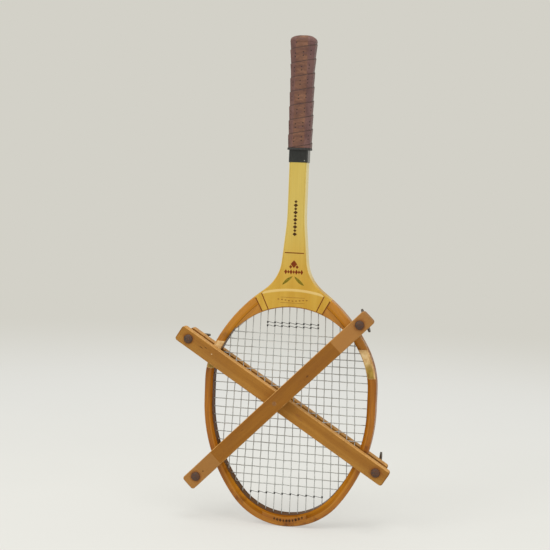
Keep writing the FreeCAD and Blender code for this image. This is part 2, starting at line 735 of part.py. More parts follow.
def make_press():
    under_front_y = -BAR_INNER - UNDER_THICK
    over_front_y = -BAR_INNER - END_THICK
    bridge_top_y = under_front_y - BRIDGE_GAP - BRIDGE_THICK
    plate_radius, plate_thick = RIVET_PLATE
    pin_hole = pivot_rod(UNDER_BAR, -60, 60, RIVET_RADIUS)
    plate_seat = pivot_rod(UNDER_BAR, -BAR_INNER - plate_thick, 0, plate_radius)
    pin_bore = pivot_rod(OVER_BAR, -60, 60, RIVET_BORE)
    front_under = under_bar(*UNDER_FRONT).cut([pin_hole, plate_seat] + square_necks(under_front_y)
                                              + holes(BOLT_RADIUS))
    front_over = over_bar(*OVER_FRONT).cut([pin_bore] + square_necks(over_front_y) + holes(BOLT_RADIUS))
    back_under = under_bar(*BACK).cut([pin_hole, plate_seat] + holes(BOLT_HOLE))
    back_over = over_bar(*BACK).cut([pin_bore] + holes(BOLT_HOLE))
    write("press_bar_front_under", place(front_under, UNDER_BAR))
    write("press_bar_front_over", place(front_over, OVER_BAR))
    write("press_bar_back_under", place(back_under, UNDER_BAR, True))
    write("press_bar_back_over", place(back_over, OVER_BAR, True))
    write("bolts_under", place(carriage_bolts(under_front_y, -under_front_y), UNDER_BAR))
    write("bolts_over", place(carriage_bolts(over_front_y, -over_front_y), OVER_BAR))
    write("washers_under", place(washers(-under_front_y), UNDER_BAR))
    write("washers_over", place(washers(-over_front_y), OVER_BAR))
    pin = pivot_rod(UNDER_BAR, bridge_top_y, -BAR_INNER, RIVET_RADIUS)
    rivet = pin.fuse(pivot_rod(UNDER_BAR, -BAR_INNER - plate_thick, -BAR_INNER, plate_radius))
    write("pivot_rivet_front", place(rivet, UNDER_BAR))
    write("pivot_rivet_back", place(rivet, UNDER_BAR, True))
    nuts = (("wing_nut_upper_left", -BOLT_AT, -under_front_y, UNDER_BAR, -32),
            ("wing_nut_lower_right", BOLT_AT, -under_front_y, UNDER_BAR, -120),
            ("wing_nut_upper_right", BOLT_AT, -over_front_y, OVER_BAR, -66),
            ("wing_nut_lower_left", -BOLT_AT, -over_front_y, OVER_BAR, -5))
    for name, s, back_y, bar, turned in nuts:
        write(name, place(wing_nut(s, back_y, turned), bar))


drills = string_holes()
make_bow(drills)
make_wedge(drills)
make_centre_strip()
make_throat_veneers()
make_plaque()
make_trim_lines()
make_head_veneers()
make_handle()
make_collar_and_band()
make_butt()
make_main_strings()
make_cross_strings()
make_trebling()
make_press()
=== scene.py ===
import math

import bmesh
import bpy
from mathutils import Matrix, Vector


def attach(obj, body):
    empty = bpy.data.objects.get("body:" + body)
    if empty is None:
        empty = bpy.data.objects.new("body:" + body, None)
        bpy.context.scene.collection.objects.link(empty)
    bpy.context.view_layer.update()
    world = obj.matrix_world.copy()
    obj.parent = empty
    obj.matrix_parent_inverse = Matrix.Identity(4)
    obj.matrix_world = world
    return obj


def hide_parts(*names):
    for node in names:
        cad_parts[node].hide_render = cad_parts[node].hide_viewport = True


# Looks of a laminated wooden tennis racket standing on its head in a wooden X press.
# Same frame as the design, in metres: +Z runs up the handle, -Y is the front.

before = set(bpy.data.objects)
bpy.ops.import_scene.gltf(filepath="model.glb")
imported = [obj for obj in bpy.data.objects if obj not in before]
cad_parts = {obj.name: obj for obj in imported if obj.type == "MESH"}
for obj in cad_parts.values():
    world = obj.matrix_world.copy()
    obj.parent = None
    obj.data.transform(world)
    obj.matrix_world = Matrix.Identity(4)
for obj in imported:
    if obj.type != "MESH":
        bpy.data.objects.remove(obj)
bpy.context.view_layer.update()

# ---- dimensions that the design gives ----

MM = 0.001
LENGTH = 685 * MM
FACE = 9.5 * MM
HEAD_HALF_WIDTH = 122 * MM
TOE_RADIUS = 96 * MM
SIDE_LOW_Z = 172 * MM
SIDE_HIGH_Z = 200 * MM
SHOULDER_START = math.radians(28.4)
SHOULDER_RADIUS = 222 * MM
PLY_JOINTS = (4 * MM, 8.5 * MM)
INNER_PLY = 12 * MM
TOE_EXTRA = 4.5 * MM
LEG_HALF_WIDTHS = ((296, 81), (330, 53), (345, 42), (360, 32), (386, 21), (420, 14), (460, 12.5))
FIRST_LINE_END = (44.5 * MM, 330 * MM)
SECOND_LINE = ((41.5 * MM, 299.5 * MM), (53.5 * MM, 321.5 * MM))
SHOULDER_VENEER_Z = (218 * MM, 257 * MM)
PLAQUE_RISE_Z = 336 * MM
VENEER_TOP = FACE + 0.5 * MM
PLAQUE_TOP = FACE + 0.65 * MM

GRIP_Z = (531 * MM, 676 * MM)
FLARE_START_Z = 636 * MM
HANDLE_HALF = (14.2 * MM, 12.2 * MM)
HANDLE_BUTT_HALF = (16 * MM, 13.8 * MM)
HANDLE_BEVEL = 0.44
LEATHER = 1.5 * MM

STRING = 1.3 * MM
STRING_PLANE = 0.7 * MM
STRING_SEAT = 0.75 * MM
MAINS_PER_SIDE = 9
MAIN_PITCH = (10.3 * MM, 11.4 * MM)
MAIN_FAN_Z = (280 * MM, 50 * MM)
CROSS_LOW_Z = 57 * MM
CROSS_PITCHES = [11.7 * MM] * 13 + [10.3 * MM] * 6
BLIND_HOLE = 11 * MM

PIVOT = Vector((-14.7 * MM, 0, 178.5 * MM))
UNDER_BAR = (math.radians(-31.7), 7.2 * MM)     # angle, and the bar's middle beyond the crossing
OVER_BAR = (math.radians(45.6), 0.5 * MM)
BOLT_AT = 159.7 * MM
UNDER_FRONT = (176.5 * MM, 11.6 * MM)           # half length and half width of a bar
OVER_FRONT = (176.5 * MM, 11.1 * MM)
BACK = (170.5 * MM, 9 * MM)
UNDER_FRONT_Y = 22.8 * MM
OVER_FRONT_Y = 26.3 * MM
BEVEL_START = 116 * MM
BOLT_RADIUS = 3 * MM
BOLT_HEAD = (6.4 * MM, 3.2 * MM)                # radius and height
THREAD_PITCH = 1.27 * MM
WASHER_THICK = 1.2 * MM
NUT_HEIGHT = 8.5 * MM
BOLT_SPARE = 8 * MM

# ---- sizes of the finer details ----

GLUE_LINES = (2.1 * MM, PLY_JOINTS[0], 6.2 * MM, PLY_JOINTS[1], 10.3 * MM)
WRAP_PITCH = 19.3 * MM
WRAP_THICK = 0.95 * MM
WRAP_COLUMNS = 192      # steps round one turn
HANDLE_SOFTNESS = 2.6 * MM
HOLE_PITCH = 10.4 * MM
HOLE_ROWS = (7.4 * MM, 12.1 * MM)
HOLE_RADIUS = 0.80 * MM
HOLE_DEPTH = 0.45 * MM
UV_UNIT = 0.1           # metres to one unit of the wrap's UV map
THREAD = 0.36 * MM      # radius
KNOT_HEIGHT = 2.3 * MM
THROAT_ROWS_Z = (282.3 * MM, 286.9 * MM)
TOE_ROW_Z = 44.5 * MM
PRINT_THICK = 0.04 * MM
PRINT_GAP = 0.01 * MM
NUT_VOXEL = 0.42 * MM


def screen(*channels):
    """Linear colour for red, green and blue as on a screen, 0 to 255."""
    shares = [channel / 255 for channel in channels]
    return *[s / 12.92 if s <= 0.04045 else ((s + 0.055) / 1.055) ** 2.4 for s in shares], 1.0


# ---- material kit: a colour is (red, green, blue) as on a screen, 0 to 255 ----

class Value:
    """A number, vector or colour that a material works out."""

    def __init__(self, finish, socket):
        self.finish = finish
        self.socket = socket

    def math(self, operation, *values):
        return self.finish.value("ShaderNodeMath", values, operation=operation)

    def __add__(self, other):
        return self.math("ADD", self, other)

    def __sub__(self, other):
        return self.math("SUBTRACT", self, other)

    def __rsub__(self, other):
        return self.math("SUBTRACT", other, self)

    def __mul__(self, other):
        return self.math("MULTIPLY", self, other)

    def __abs__(self):
        return self.math("ABSOLUTE", self)

    def above(self, other):
        return self.math("GREATER_THAN", self, other)

    def space(self, operation, other, output=0):
        return self.finish.value("ShaderNodeVectorMath", [self, other], output, operation=operation)

    def scaled(self, factors):
        return self.space("MULTIPLY", factors)

    def less(self, vector):
        return self.space("SUBTRACT", vector)

    def dot(self, axis):
        return self.space("DOT_PRODUCT", axis, "Value")

    def distance(self, centre):
        return self.space("DISTANCE", centre, "Value")

    def step(self, low, high):
        """0 below low, 1 above high, smooth between. Give high < low to turn it round."""
        turned = high < low
        ends = {"Value": self, "From Min": min(low, high), "From Max": max(low, high),
                "To Min": 1.0 if turned else 0.0, "To Max": 0.0 if turned else 1.0}
        return self.finish.value("ShaderNodeMapRange", ends, interpolation_type="SMOOTHSTEP")

    def ramp(self, *stops):
        """Colour or grey by value, from (position, colour or grey) pairs."""
        made = self.finish.node("ShaderNodeValToRGB", [self])
        elements = made.color_ramp.elements
        while len(elements) < len(stops):
            elements.new(0.5)
        for element, (position, colour) in zip(elements, stops):
            element.position = position
            element.color = screen(*colour) if isinstance(colour, tuple) else (colour,) * 3 + (1,)
        return Value(self.finish, made.outputs[0])


class Finish:
    """One procedural material. Its points are the part's own coordinates at rest, in metres."""

    def __init__(self, name, **settings):
        self.material = bpy.data.materials.new(name)
        self.material.use_nodes = True
        self.tree = self.material.node_tree
        self.shader = self.tree.nodes["Principled BSDF"]
        for socket, value in settings.items():
            self.shader.inputs[socket.replace("_", " ")].default_value = value
        self.point = self.value("ShaderNodeTexCoord", output="Object")
        self.x, self.y, self.z = self.parts(self.point)
        self.colour = None

    def node(self, kind, values=(), **attributes):
        made = self.tree.nodes.new(kind)
        for name, value in attributes.items():
            setattr(made, name, value)
        pairs = values.items() if isinstance(values, dict) else enumerate(values)
        for socket, value in pairs:
            self.feed(made.inputs[socket], value)
        return made

    def value(self, kind, values=(), output=0, **attributes):
        return Value(self, self.node(kind, values, **attributes).outputs[output])

    def feed(self, socket, value):
        if isinstance(value, Value):
            self.tree.links.new(value.socket, socket)
        elif socket.type == "RGBA":
            socket.default_value = screen(*value)
        else:
            socket.default_value = value

    def parts(self, vector):
        return [Value(self, part) for part in self.node("ShaderNodeSeparateXYZ", [vector]).outputs]

    def vector(self, x, y, z):
        return self.value("ShaderNodeCombineXYZ", [x, y, z])

    def choose(self, factor, low, high):
        """Number between low and high."""
        return self.value("ShaderNodeMix", {0: factor, 2: low, 3: high})

    def blend(self, factor, a, b, how="MIX"):
        """Colour between a and b."""
        return self.value("ShaderNodeMix", {0: factor, 6: a, 7: b}, 2, data_type="RGBA", blend_type=how)

    def noise(self, scale, detail=3.0, roughness=0.5, at=None, distortion=0.0):
        """Soft noise from 0 to 1 at the point, or at another vector; three scales stretch it."""
        vector = at or self.point
        if isinstance(scale, tuple):
            vector, scale = vector.scaled(scale), 1.0
        values = {"Vector": vector, "Scale": scale, "Detail": detail, "Roughness": roughness,
                  "Distortion": distortion}
        return self.value("ShaderNodeTexNoise", values)

    def cells(self, vector, scale):
        return self.value("ShaderNodeTexVoronoi", {"Vector": vector, "Scale": scale}, "Distance")

    def tint(self, amount, colour, how="MIX"):
        """Lay one more colour over the colour so far."""
        self.colour = self.blend(amount, self.colour, colour, how)

    def done(self, relief, depth, roughness=None):
        """The material with its colour, and relief from 0 to 1 that stands out by depth metres."""
        self.feed(self.shader.inputs["Base Color"], self.colour)
        if roughness is not None:
            self.feed(self.shader.inputs["Roughness"], roughness)
        bump = self.value("ShaderNodeBump", {"Strength": 1.0, "Distance": depth, "Height": relief})
        self.feed(self.shader.inputs["Normal"], bump)
        return self.material


# ---- mesh kit ----

def new_object(name, data):
    made = bpy.data.objects.new(name, data)
    bpy.context.scene.collection.objects.link(made)
    return made


def new_mesh(name, vertices, faces):
    mesh = bpy.data.meshes.new(name)
    mesh.from_pydata([tuple(v) for v in vertices], [], [tuple(f) for f in faces])
    return mesh


def piece(name, vertices, faces, body, slot, material, smooth=True):
    mesh = new_mesh(name, vertices, faces)
    mesh.validate()
    mesh.materials.append(material)
    mesh.polygons.foreach_set("use_smooth", [smooth] * len(mesh.polygons))
    made = new_object(name, mesh)
    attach(made, body)
    return made


def join(parts):
    """One vertex and face list from several."""
    vertices, faces = [], []
    for more_vertices, more_faces in parts:
        offset = len(vertices)
        vertices += more_vertices
        faces += [[i + offset for i in face] for face in more_faces]
    return vertices, faces


def moved(shape, matrix):
    return [matrix @ v for v in shape[0]], shape[1]


def skin(rows, sides):
    """Faces between rings of points, with a cap at each end."""
    faces = []
    for row in range(rows - 1):
        for k in range(sides):
            a, b = row * sides + k, row * sides + (k + 1) % sides
            faces.append((a, b, b + sides, a + sides))
    last = (rows - 1) * sides
    return faces + [range(sides - 1, -1, -1), range(last, last + sides)]


def prism(front, back):
    """Solid between two outlines with the same number of corners."""
    count = len(front)
    faces = [range(count), range(2 * count - 1, count - 1, -1)]
    faces += [(i, i + count, (i + 1) % count + count, (i + 1) % count) for i in range(count)]
    return front + back, faces


def tube(path, radius, sides=8):
    """Round tube along points, closed at both ends."""
    last = len(path) - 1
    tangents = [(path[min(i + 1, last)] - path[max(i - 1, 0)]).normalized() for i in range(last + 1)]
    normal = tangents[0].orthogonal().normalized()
    vertices = []
    for centre, tangent in zip(path, tangents):
        normal = (normal - tangent * normal.dot(tangent)).normalized()
        side = tangent.cross(normal)
        for k in range(sides):
            a = math.tau * k / sides
            vertices.append(centre + (normal * math.cos(a) + side * math.sin(a)) * radius)
    return vertices, skin(len(path), sides)


def lathe(rows, sides, groove):
    """Solid turned about +Y from (y, radius) rows; groove(y, angle) takes some radius off."""
    vertices = []
    for y, radius in rows:
        for k in range(sides):
            a = math.tau * k / sides
            r = radius - groove(y, a)
            vertices.append(Vector((r * math.cos(a), y, -r * math.sin(a))))
    return vertices, skin(len(rows), sides)


def rounded(path, radius, steps=5):
    """The same polyline with its sharp corners turned into short curves."""
    made = [path[0]]
    for before, corner, after in zip(path, path[1:], path[2:]):
        into, out = (corner - before), (after - corner)
        if into.angle(out) < 0.5:
            made.append(corner)
            continue
        reach = min(radius, into.length / 2, out.length / 2)
        start, end = corner - into.normalized() * reach, corner + out.normalized() * reach
        for i in range(steps + 1):
            t = i / steps
            made.append(start * (1 - t) ** 2 + corner * 2 * t * (1 - t) + end * t ** 2)
    made.append(path[-1])
    return made


# ---- outline of the head, as in the design ----

def toe_arc(inset):
    """Height of the centre and radius of the toe at that inset; the inner ply thickens there."""
    lift = TOE_EXTRA * max(0.0, (inset - PLY_JOINTS[1]) / (INNER_PLY - PLY_JOINTS[1]))
    return TOE_RADIUS + lift, TOE_RADIUS - inset


def side_arc(inset):
    """x of the centre, radius and lowest angle of the side at that inset."""
    toe_z, toe_radius = toe_arc(inset)
    reach = SIDE_LOW_Z - toe_z
    w = HEAD_HALF_WIDTH - inset
    radius = (w ** 2 + reach ** 2 - toe_radius ** 2) / (2 * (w - toe_radius))
    return w - radius, radius, -math.atan2(reach, radius - w)


SHOULDER_CENTRE = ((HEAD_HALF_WIDTH - SHOULDER_RADIUS) * math.cos(SHOULDER_START),
                   SIDE_HIGH_Z + (HEAD_HALF_WIDTH - SHOULDER_RADIUS) * math.sin(SHOULDER_START))


def outline_x(z, inset):
    """Half width of the head at height z, measured on the outline at that inset."""
    toe_z, toe_radius = toe_arc(inset)
    side_x, side_radius, toe_angle = side_arc(inset)
    if z < toe_z + toe_radius * math.sin(toe_angle):
        return math.sqrt(max(toe_radius ** 2 - (z - toe_z) ** 2, 0))
    if z < SIDE_LOW_Z:
        return side_x + math.sqrt(side_radius ** 2 - (z - SIDE_LOW_Z) ** 2)
    if z < SIDE_HIGH_Z:
        return HEAD_HALF_WIDTH - inset
    radius = HEAD_HALF_WIDTH - inset
    if z < SIDE_HIGH_Z + radius * math.sin(SHOULDER_START):
        return math.sqrt(radius ** 2 - (z - SIDE_HIGH_Z) ** 2)
    reach = (SHOULDER_RADIUS - inset) ** 2 - (z - SHOULDER_CENTRE[1]) ** 2
    return SHOULDER_CENTRE[0] + math.sqrt(max(reach, 0))


def main_x(index, z):
    """x of main string 1, 2, ... at height z, on the right."""
    share = (MAIN_FAN_Z[0] - z) / (MAIN_FAN_Z[0] - MAIN_FAN_Z[1])
    return (index - 0.5) * (MAIN_PITCH[0] + (MAIN_PITCH[1] - MAIN_PITCH[0]) * share)


def main_toe_z(index, inset):
    """Height where a main string meets the lower outline at that inset."""
    toe_z, toe_radius = toe_arc(inset)
    low, high = toe_z - toe_radius, SIDE_LOW_Z
    for _ in range(50):
        middle = (low + high) / 2
        if outline_x(middle, inset) < main_x(index, middle):
            low = middle
        else:
            high = middle
    return high


def main_top_z(index):
    """Height where a main string meets the arch of the throat."""
    z = MAIN_FAN_Z[0]
    for _ in range(30):
        z = SIDE_HIGH_Z + math.sqrt((HEAD_HALF_WIDTH - INNER_PLY) ** 2 - main_x(index, z) ** 2)
    return z


cross_heights = [CROSS_LOW_Z]
for pitch in CROSS_PITCHES:
    cross_heights.append(cross_heights[-1] + pitch)


# ---- finishes: wood ----

def bow_inset(finish):
    """Depth inside the head's outer outline, and length along the bow."""
    across = abs(finish.x)
    flat = finish.vector(across, 0.0, finish.z)

    def inside(centre_x, centre_z, radius):
        return radius - flat.distance((centre_x, 0, centre_z))

    def beyond(origin_z, angle):
        """1 where the point lies anticlockwise of the ray from the axis at that height and angle."""
        return flat.less((0, 0, origin_z)).dot((-math.sin(angle), 0, math.cos(angle))).above(0.0)

    side_x, side_radius, toe_angle = side_arc(0)
    depth = finish.choose(beyond(TOE_RADIUS, toe_angle), inside(0, TOE_RADIUS, TOE_RADIUS),
                          inside(side_x, SIDE_LOW_Z, side_radius))
    depth = finish.choose(finish.z.above(SIDE_LOW_Z), depth, HEAD_HALF_WIDTH - across)
    depth = finish.choose(finish.z.above(SIDE_HIGH_Z), depth, inside(0, SIDE_HIGH_Z, HEAD_HALF_WIDTH))
    depth = finish.choose(beyond(SIDE_HIGH_Z, SHOULDER_START), depth,
                          inside(*SHOULDER_CENTRE, SHOULDER_RADIUS))
    # above the shoulder the legs lean in to the shaft, along a curve through known half widths
    leg = finish.node("ShaderNodeFloatCurve", [1.0, finish.z * (1 / LENGTH)])
    points = leg.mapping.curves[0].points
    while len(points) < len(LEG_HALF_WIDTHS):
        points.new(0.5, 0.5)
    for spot, (height, half) in zip(points, LEG_HALF_WIDTHS):
        spot.location = (height * MM / LENGTH, half / 100)
    leg.mapping.update()
    high = finish.z.step(0.300, 0.318)
    depth = finish.choose(high, depth, Value(finish, leg.outputs[0]) * 0.1 - across)
    angle = across.math("ARCTAN2", across, SIDE_LOW_Z - finish.z)
    return depth, finish.choose(high, angle * HEAD_HALF_WIDTH, finish.z)


def wood(finish, across, through, along, tones, streak=110.0, lined=1.0):
    """Straight grain in a dark, a middle and a light tone, from three distances. Gives its relief."""
    grain = finish.vector(across, through, along)
    broad = finish.noise((streak, streak * 0.5, streak * 0.05), 4.0, 0.6, grain, 0.4)
    finish.colour = broad.ramp(*zip((0.30, 0.50, 0.72), tones))
    fine = finish.noise((1500, 1500, 45), 2.0, at=grain)
    lines = finish.noise((520, 300, 7), 2.0, 0.7, grain)
    finish.tint(lined, fine.ramp((0.30, 0.78), (0.55, 1.0)), "MULTIPLY")
    finish.tint(0.5 * lined, lines.ramp((0.34, 0.66), (0.56, 1.0)), "MULTIPLY")
    return fine


def bow_finish(name, tones, lacquered=False, gloss=0.30):
    """Varnished bent ply: glue lines, painted shade on the inner side faces, a little darker at the foot
    of the toe, cream lacquer above the trim lines.
    """
    finish = Finish(name, Coat_Weight=0.4 * gloss, Coat_Roughness=0.22, Specular_IOR_Level=gloss)
    depth, along = bow_inset(finish)
    fine = wood(finish, depth, finish.y, along, tones)
    for line in GLUE_LINES:
        finish.tint(abs(depth - line).step(0.32 * MM, 0.08 * MM) * 0.28, (104, 58, 22))
    from_middle = abs(finish.y)
    patchy = finish.noise(26.0, 4.0, 0.6)
    finish.tint(patchy.step(0.52, 0.72), (128, 78, 34), "MULTIPLY")
    rim = from_middle.step(FACE - 2.6 * MM, FACE - 0.6 * MM)
    worn_rim = rim * finish.noise(90.0, 5.0, 0.7).step(0.5, 0.66)
    finish.tint(worn_rim * depth.step(2.4 * MM, 0.6 * MM) * 0.5, (196, 150, 92))
    finish.tint(finish.z.step(0.235, 0.285) * 0.35, (214, 152, 56))
    # the shoulder patches' lacquer runs on to the edges of the bow
    patch_low, patch_high = SHOULDER_VENEER_Z
    lacquer = finish.noise(110.0, 4.0, 0.6)
    height = finish.z + lacquer * (6 * MM)
    patch = (height.step(patch_low + 2.6 * MM, patch_low + 3.2 * MM)
             * height.step(patch_high + 3.4 * MM, patch_high + 2.8 * MM))
    patch = finish.y.step(-FACE + 1.6 * MM, -FACE + 0.8 * MM) * patch
    finish.tint(patch * 0.85, lacquer.ramp((0.4, (190, 148, 88)), (0.6, (226, 190, 132))))
    # painted shade: the inner side faces of the head, below the throat, darkened where shade falls
    painted_inner_shade = from_middle.step(FACE - 0.3 * MM, FACE - 1.0 * MM) * depth.step(10.6 * MM, 11.4 * MM)
    finish.tint(painted_inner_shade * finish.z.step(0.300, 0.270) * 0.8, (72, 46, 22))
    finish.tint(finish.z.step(0.050, 0.020) * 0.5, (222, 214, 205), "MULTIPLY")
    scuff = finish.noise(160.0, 3.0, 0.7, finish.point.scaled((1, 0.4, 1))).step(0.70, 0.76)
    finish.tint(scuff * 0.5, (80, 48, 26))
    if lacquered:
        (low_x, low_z), (high_x, high_z) = SECOND_LINE
        run = Vector((high_x - low_x, 0, high_z - low_z)).normalized()
        flat = finish.vector(abs(finish.x) - low_x, 0.0, finish.z - low_z)
        upper = flat.dot((-run.z, 0, run.x)).step(-0.3 * MM, 0.3 * MM)
        bare_wood = finish.colour
        paint_cream(finish)
        finish.colour = finish.blend(upper, bare_wood, finish.colour)
    return finish.done(fine, 0.05 * MM, patchy.ramp((0.3, 0.30), (0.7, 0.46)))


def paint_cream(finish):
    """Yellowed cream lacquer over a veneer, paler and greener up the shaft."""
    broad = finish.noise((60, 40, 5))
    low = broad.ramp((0.3, (190, 143, 40)), (0.7, (206, 166, 66)))
    high = broad.ramp((0.3, (194, 165, 72)), (0.7, (206, 182, 96)))
    finish.colour = finish.blend(finish.z.step(0.33, 0.45), low, high)
    # painted highlight: the shaft's side faces made paler above the throat, where light falls on them
    side = abs(finish.y).step(FACE - 0.2 * MM, FACE - 1.0 * MM) * finish.z.step(0.335, 0.365)
    finish.tint(side * 0.8, (232, 216, 158))
    lines = finish.noise((700, 400, 9), 2.0, 0.7)
    finish.tint(0.22, lines.ramp((0.35, 0.78), (0.55, 1.0)), "MULTIPLY")
    finish.tint(finish.noise(210.0, 4.0, 0.65).step(0.70, 0.74) * 0.65, (128, 88, 44))


def cream_finish(name, painted_top_highlight=False):
    """Cream lacquer, brown round the arch of the throat; the plaque gets a painted highlight band along
    its top edge.
    """
    finish = Finish(name, Coat_Weight=0.12, Coat_Roughness=0.2, Roughness=0.36, Specular_IOR_Level=0.30)
    paint_cream(finish)
    flat = finish.vector(finish.x, 0.0, finish.z)
    from_arch = flat.distance((0, 0, SIDE_HIGH_Z)) - (HEAD_HALF_WIDTH - INNER_PLY)
    ragged = from_arch + finish.noise(320.0) * (3 * MM)
    finish.tint(ragged.step(3.2 * MM, 2.2 * MM), (132, 88, 42))
    if painted_top_highlight:
        end_x, end_z = FIRST_LINE_END
        rise = PLAQUE_RISE_Z - end_z
        radius = (end_x ** 2 + rise ** 2) / (2 * rise)
        from_rim = radius - flat.distance((0, 0, PLAQUE_RISE_Z - radius))
        # painted highlight: a pale band along the plaque's bevelled top edge, where light catches it
        finish.tint(from_rim.step(4.0 * MM, 2.8 * MM) * 0.75, (226, 197, 128))
    return finish.done(finish.noise(300.0), 0.06 * MM)


def bar_finish(name, bar, size, seed, tones, marks=(), bevel=False):
    """Oiled beech of a press bar, with flecks along it, worn edges, rust round the bolts, and a painted
    highlight on its upper side and bevelled ends.
    """
    finish = Finish(name, Specular_IOR_Level=0.12)
    angle, middle_at = bar
    half_length, half_width = size
    from_pivot = finish.point.less(tuple(PIVOT))
    along = from_pivot.dot((math.cos(angle), 0, math.sin(angle))) - middle_at
    across = from_pivot.dot((-math.sin(angle), 0, math.cos(angle)))
    relief = wood(finish, across + seed * 0.37, finish.y + seed * 0.11, along + seed, tones, 50.0, 0.32)
    grain = finish.vector(across + seed, finish.y, along)
    flecks = finish.cells(grain.scaled((900, 900, 190)), 1.0)
    finish.tint(flecks.step(0.34, 0.12) * 0.35, (112, 68, 34))
    handled = finish.noise((22, 22, 9), 4.0, 0.6, grain)
    finish.tint(handled.step(0.48, 0.68) * 0.30, (124, 80, 42))
    edge = abs(across).step(half_width - 1.3 * MM, half_width - 0.5 * MM)
    broken = finish.noise(130.0, 5.0, 0.7).step(0.40, 0.62)
    finish.tint(edge * broken * 0.6, (206, 154, 88))
    # painted highlight: the bar's upper long side made paler, as light from above falls on it
    painted_upper_highlight = across.step(half_width - 1.0 * MM, half_width - 0.4 * MM)
    finish.tint(painted_upper_highlight * 0.45, (228, 176, 106))
    end = abs(along).step(half_length - 2.5 * MM, half_length - 0.2 * MM)
    finish.tint(end * 0.45, (104, 66, 36))
    if bevel:
        # painted highlight: the bevelled ends of the over bars made paler, as they tilt towards the light
        ends = abs(along).step(BEVEL_START - 0.4 * MM, BEVEL_START + 0.4 * MM)
        finish.tint(ends * 0.55, (176, 128, 74))
    from_bolt = finish.vector(abs(along), 0.0, across).distance((BOLT_AT, 0, 0))
    smear = from_bolt + finish.noise(240.0, 4.0) * (7 * MM)
    finish.tint(smear.step(14 * MM, 9 * MM) * 0.55, (120, 62, 28))
    for mark_along, mark_across, long, wide, strength, colour in marks:
        offset = finish.vector((along - mark_along * MM) * (1 / (long * MM)), 0.0,
                               (across - mark_across * MM) * (1 / (wide * MM)))
        spread = offset.distance((0, 0, 0)) + finish.noise(420.0) * 0.6
        here = spread.step(1.3, 0.8) * strength
        finish.tint(here, colour)
        relief = relief - here
    return finish.done(relief, 0.09 * MM, handled.ramp((0.3, 0.46), (0.7, 0.62)))


# ---- finishes: leather, strings, metal and paint ----

def leather_finish(name, holes):
    """Worn maroon calf: pebbled, tan and cracked on the front flat, with painted sheen on the right side,
    painted shade in the holes and seams, and a painted highlight on each turn's lip.
    """
    finish = Finish(name, Specular_IOR_Level=0.35)
    patch = finish.noise(70.0, 4.0, 0.6)
    finish.colour = patch.ramp((0.30, (88, 58, 54)), (0.52, (108, 74, 68)), (0.72, (124, 90, 82)))
    flat = abs(finish.x).step(8.6 * MM, 7.4 * MM)
    front = finish.y.math("LESS_THAN", finish.y, -0.010) * flat
    streaky = finish.noise((60, 60, 160), 4.0, 0.65)
    tan = streaky.ramp((0.35, (92, 60, 46)), (0.55, (122, 84, 64)), (0.72, (152, 108, 80)))
    finish.tint(front * streaky.step(0.22, 0.5) * 0.85, tan)
    # painted sheen: the right-hand side of the handle tinted paler and greyer as light falls on it
    finish.tint(finish.x.step(0.009, 0.013) * 0.30, (120, 92, 96))
    pebble = finish.cells(finish.point, 1300.0)
    crease = finish.noise(520.0, 4.0, 0.7)
    finish.tint(0.5, crease.ramp((0.35, 0.72), (0.60, 1.06)), "MULTIPLY")
    if holes:
        strip = finish.parts(finish.value("ShaderNodeUVMap", uv_map="strip"))
        over = strip[1] * UV_UNIT
        pitches = strip[0] * UV_UNIT * (1 / HOLE_PITCH)
        local = (pitches.math("FRACT", pitches) - 0.5) * HOLE_PITCH
        gaps = [finish.vector(local, over - row, 0.0).distance((0, 0, 0)) for row in HOLE_ROWS]
        # painted shade: the perforations coloured dark as the shade inside the holes
        inner, outer = [gap.step(HOLE_RADIUS * 1.25, HOLE_RADIUS * 0.85) for gap in gaps]
        finish.tint(inner + outer, (34, 22, 20))
        # painted shade in the crease at each turn's overlapping edge, and a painted highlight on the lit
        # lip just past it
        painted_seam_shade = over.step(1.3 * MM, 0.5 * MM) + over.step(WRAP_PITCH - 1.0 * MM, WRAP_PITCH - 0.2 * MM)
        finish.tint(painted_seam_shade * 0.75, (50, 30, 26))
        painted_lip_highlight = over.step(0.5 * MM, 1.0 * MM) * over.step(2.4 * MM, 1.4 * MM)
        finish.tint(painted_lip_highlight * 0.10, (150, 110, 84))
    return finish.done(pebble * 0.5 + crease, 0.10 * MM, patch.ramp((0.3, 0.42), (0.7, 0.58)))


def spotted(name, dark, light, scale, rough, stretch=(1, 1, 1), **settings):
    """Mottled colour and roughness, for the small parts."""
    finish = Finish(name, **settings)
    place = finish.point.scaled(stretch)
    spots = finish.noise(scale, 5.0, 0.65, place)
    finish.colour = spots.ramp((0.32, dark), (0.68, light))
    roughness = spots.ramp((0.3, rough[0]), (0.7, rough[1]))
    return finish.done(finish.noise(scale * 3, at=place), 0.05 * MM, roughness)


def rusty(name, base, rust, metallic):
    """Metal that a darker and a lighter rust have half covered."""
    finish = Finish(name, Metallic=metallic)
    spots = finish.noise(420.0, 5.0, 0.7)
    wide = finish.noise(90.0, 3.0, 0.6)
    cover = (spots + wide * 0.6).step(0.66, 0.92)
    finish.colour = finish.blend(cover, base, spots.ramp((0.35, rust[0]), (0.7, rust[1])))
    return finish.done(spots, 0.14 * MM, finish.choose(cover, 0.42, 0.78))


def shoulder_finish():
    """Pale worn lacquer of the shoulder patches, greener and browner low down."""
    finish = Finish("shoulder_cream", Roughness=0.4, Specular_IOR_Level=0.2)
    mottle = finish.noise(85.0, 5.0, 0.65)
    pale = mottle.ramp((0.34, (186, 146, 92)), (0.52, (220, 186, 132)), (0.70, (234, 208, 160)))
    low = mottle.ramp((0.34, (128, 96, 32)), (0.66, (186, 156, 74)))
    finish.colour = finish.blend(finish.z.step(0.246, 0.228), pale, low)
    finish.tint(finish.noise(260.0, 4.0, 0.7).step(0.60, 0.68) * 0.6, (140, 96, 50))
    return finish.done(mottle, 0.05 * MM)


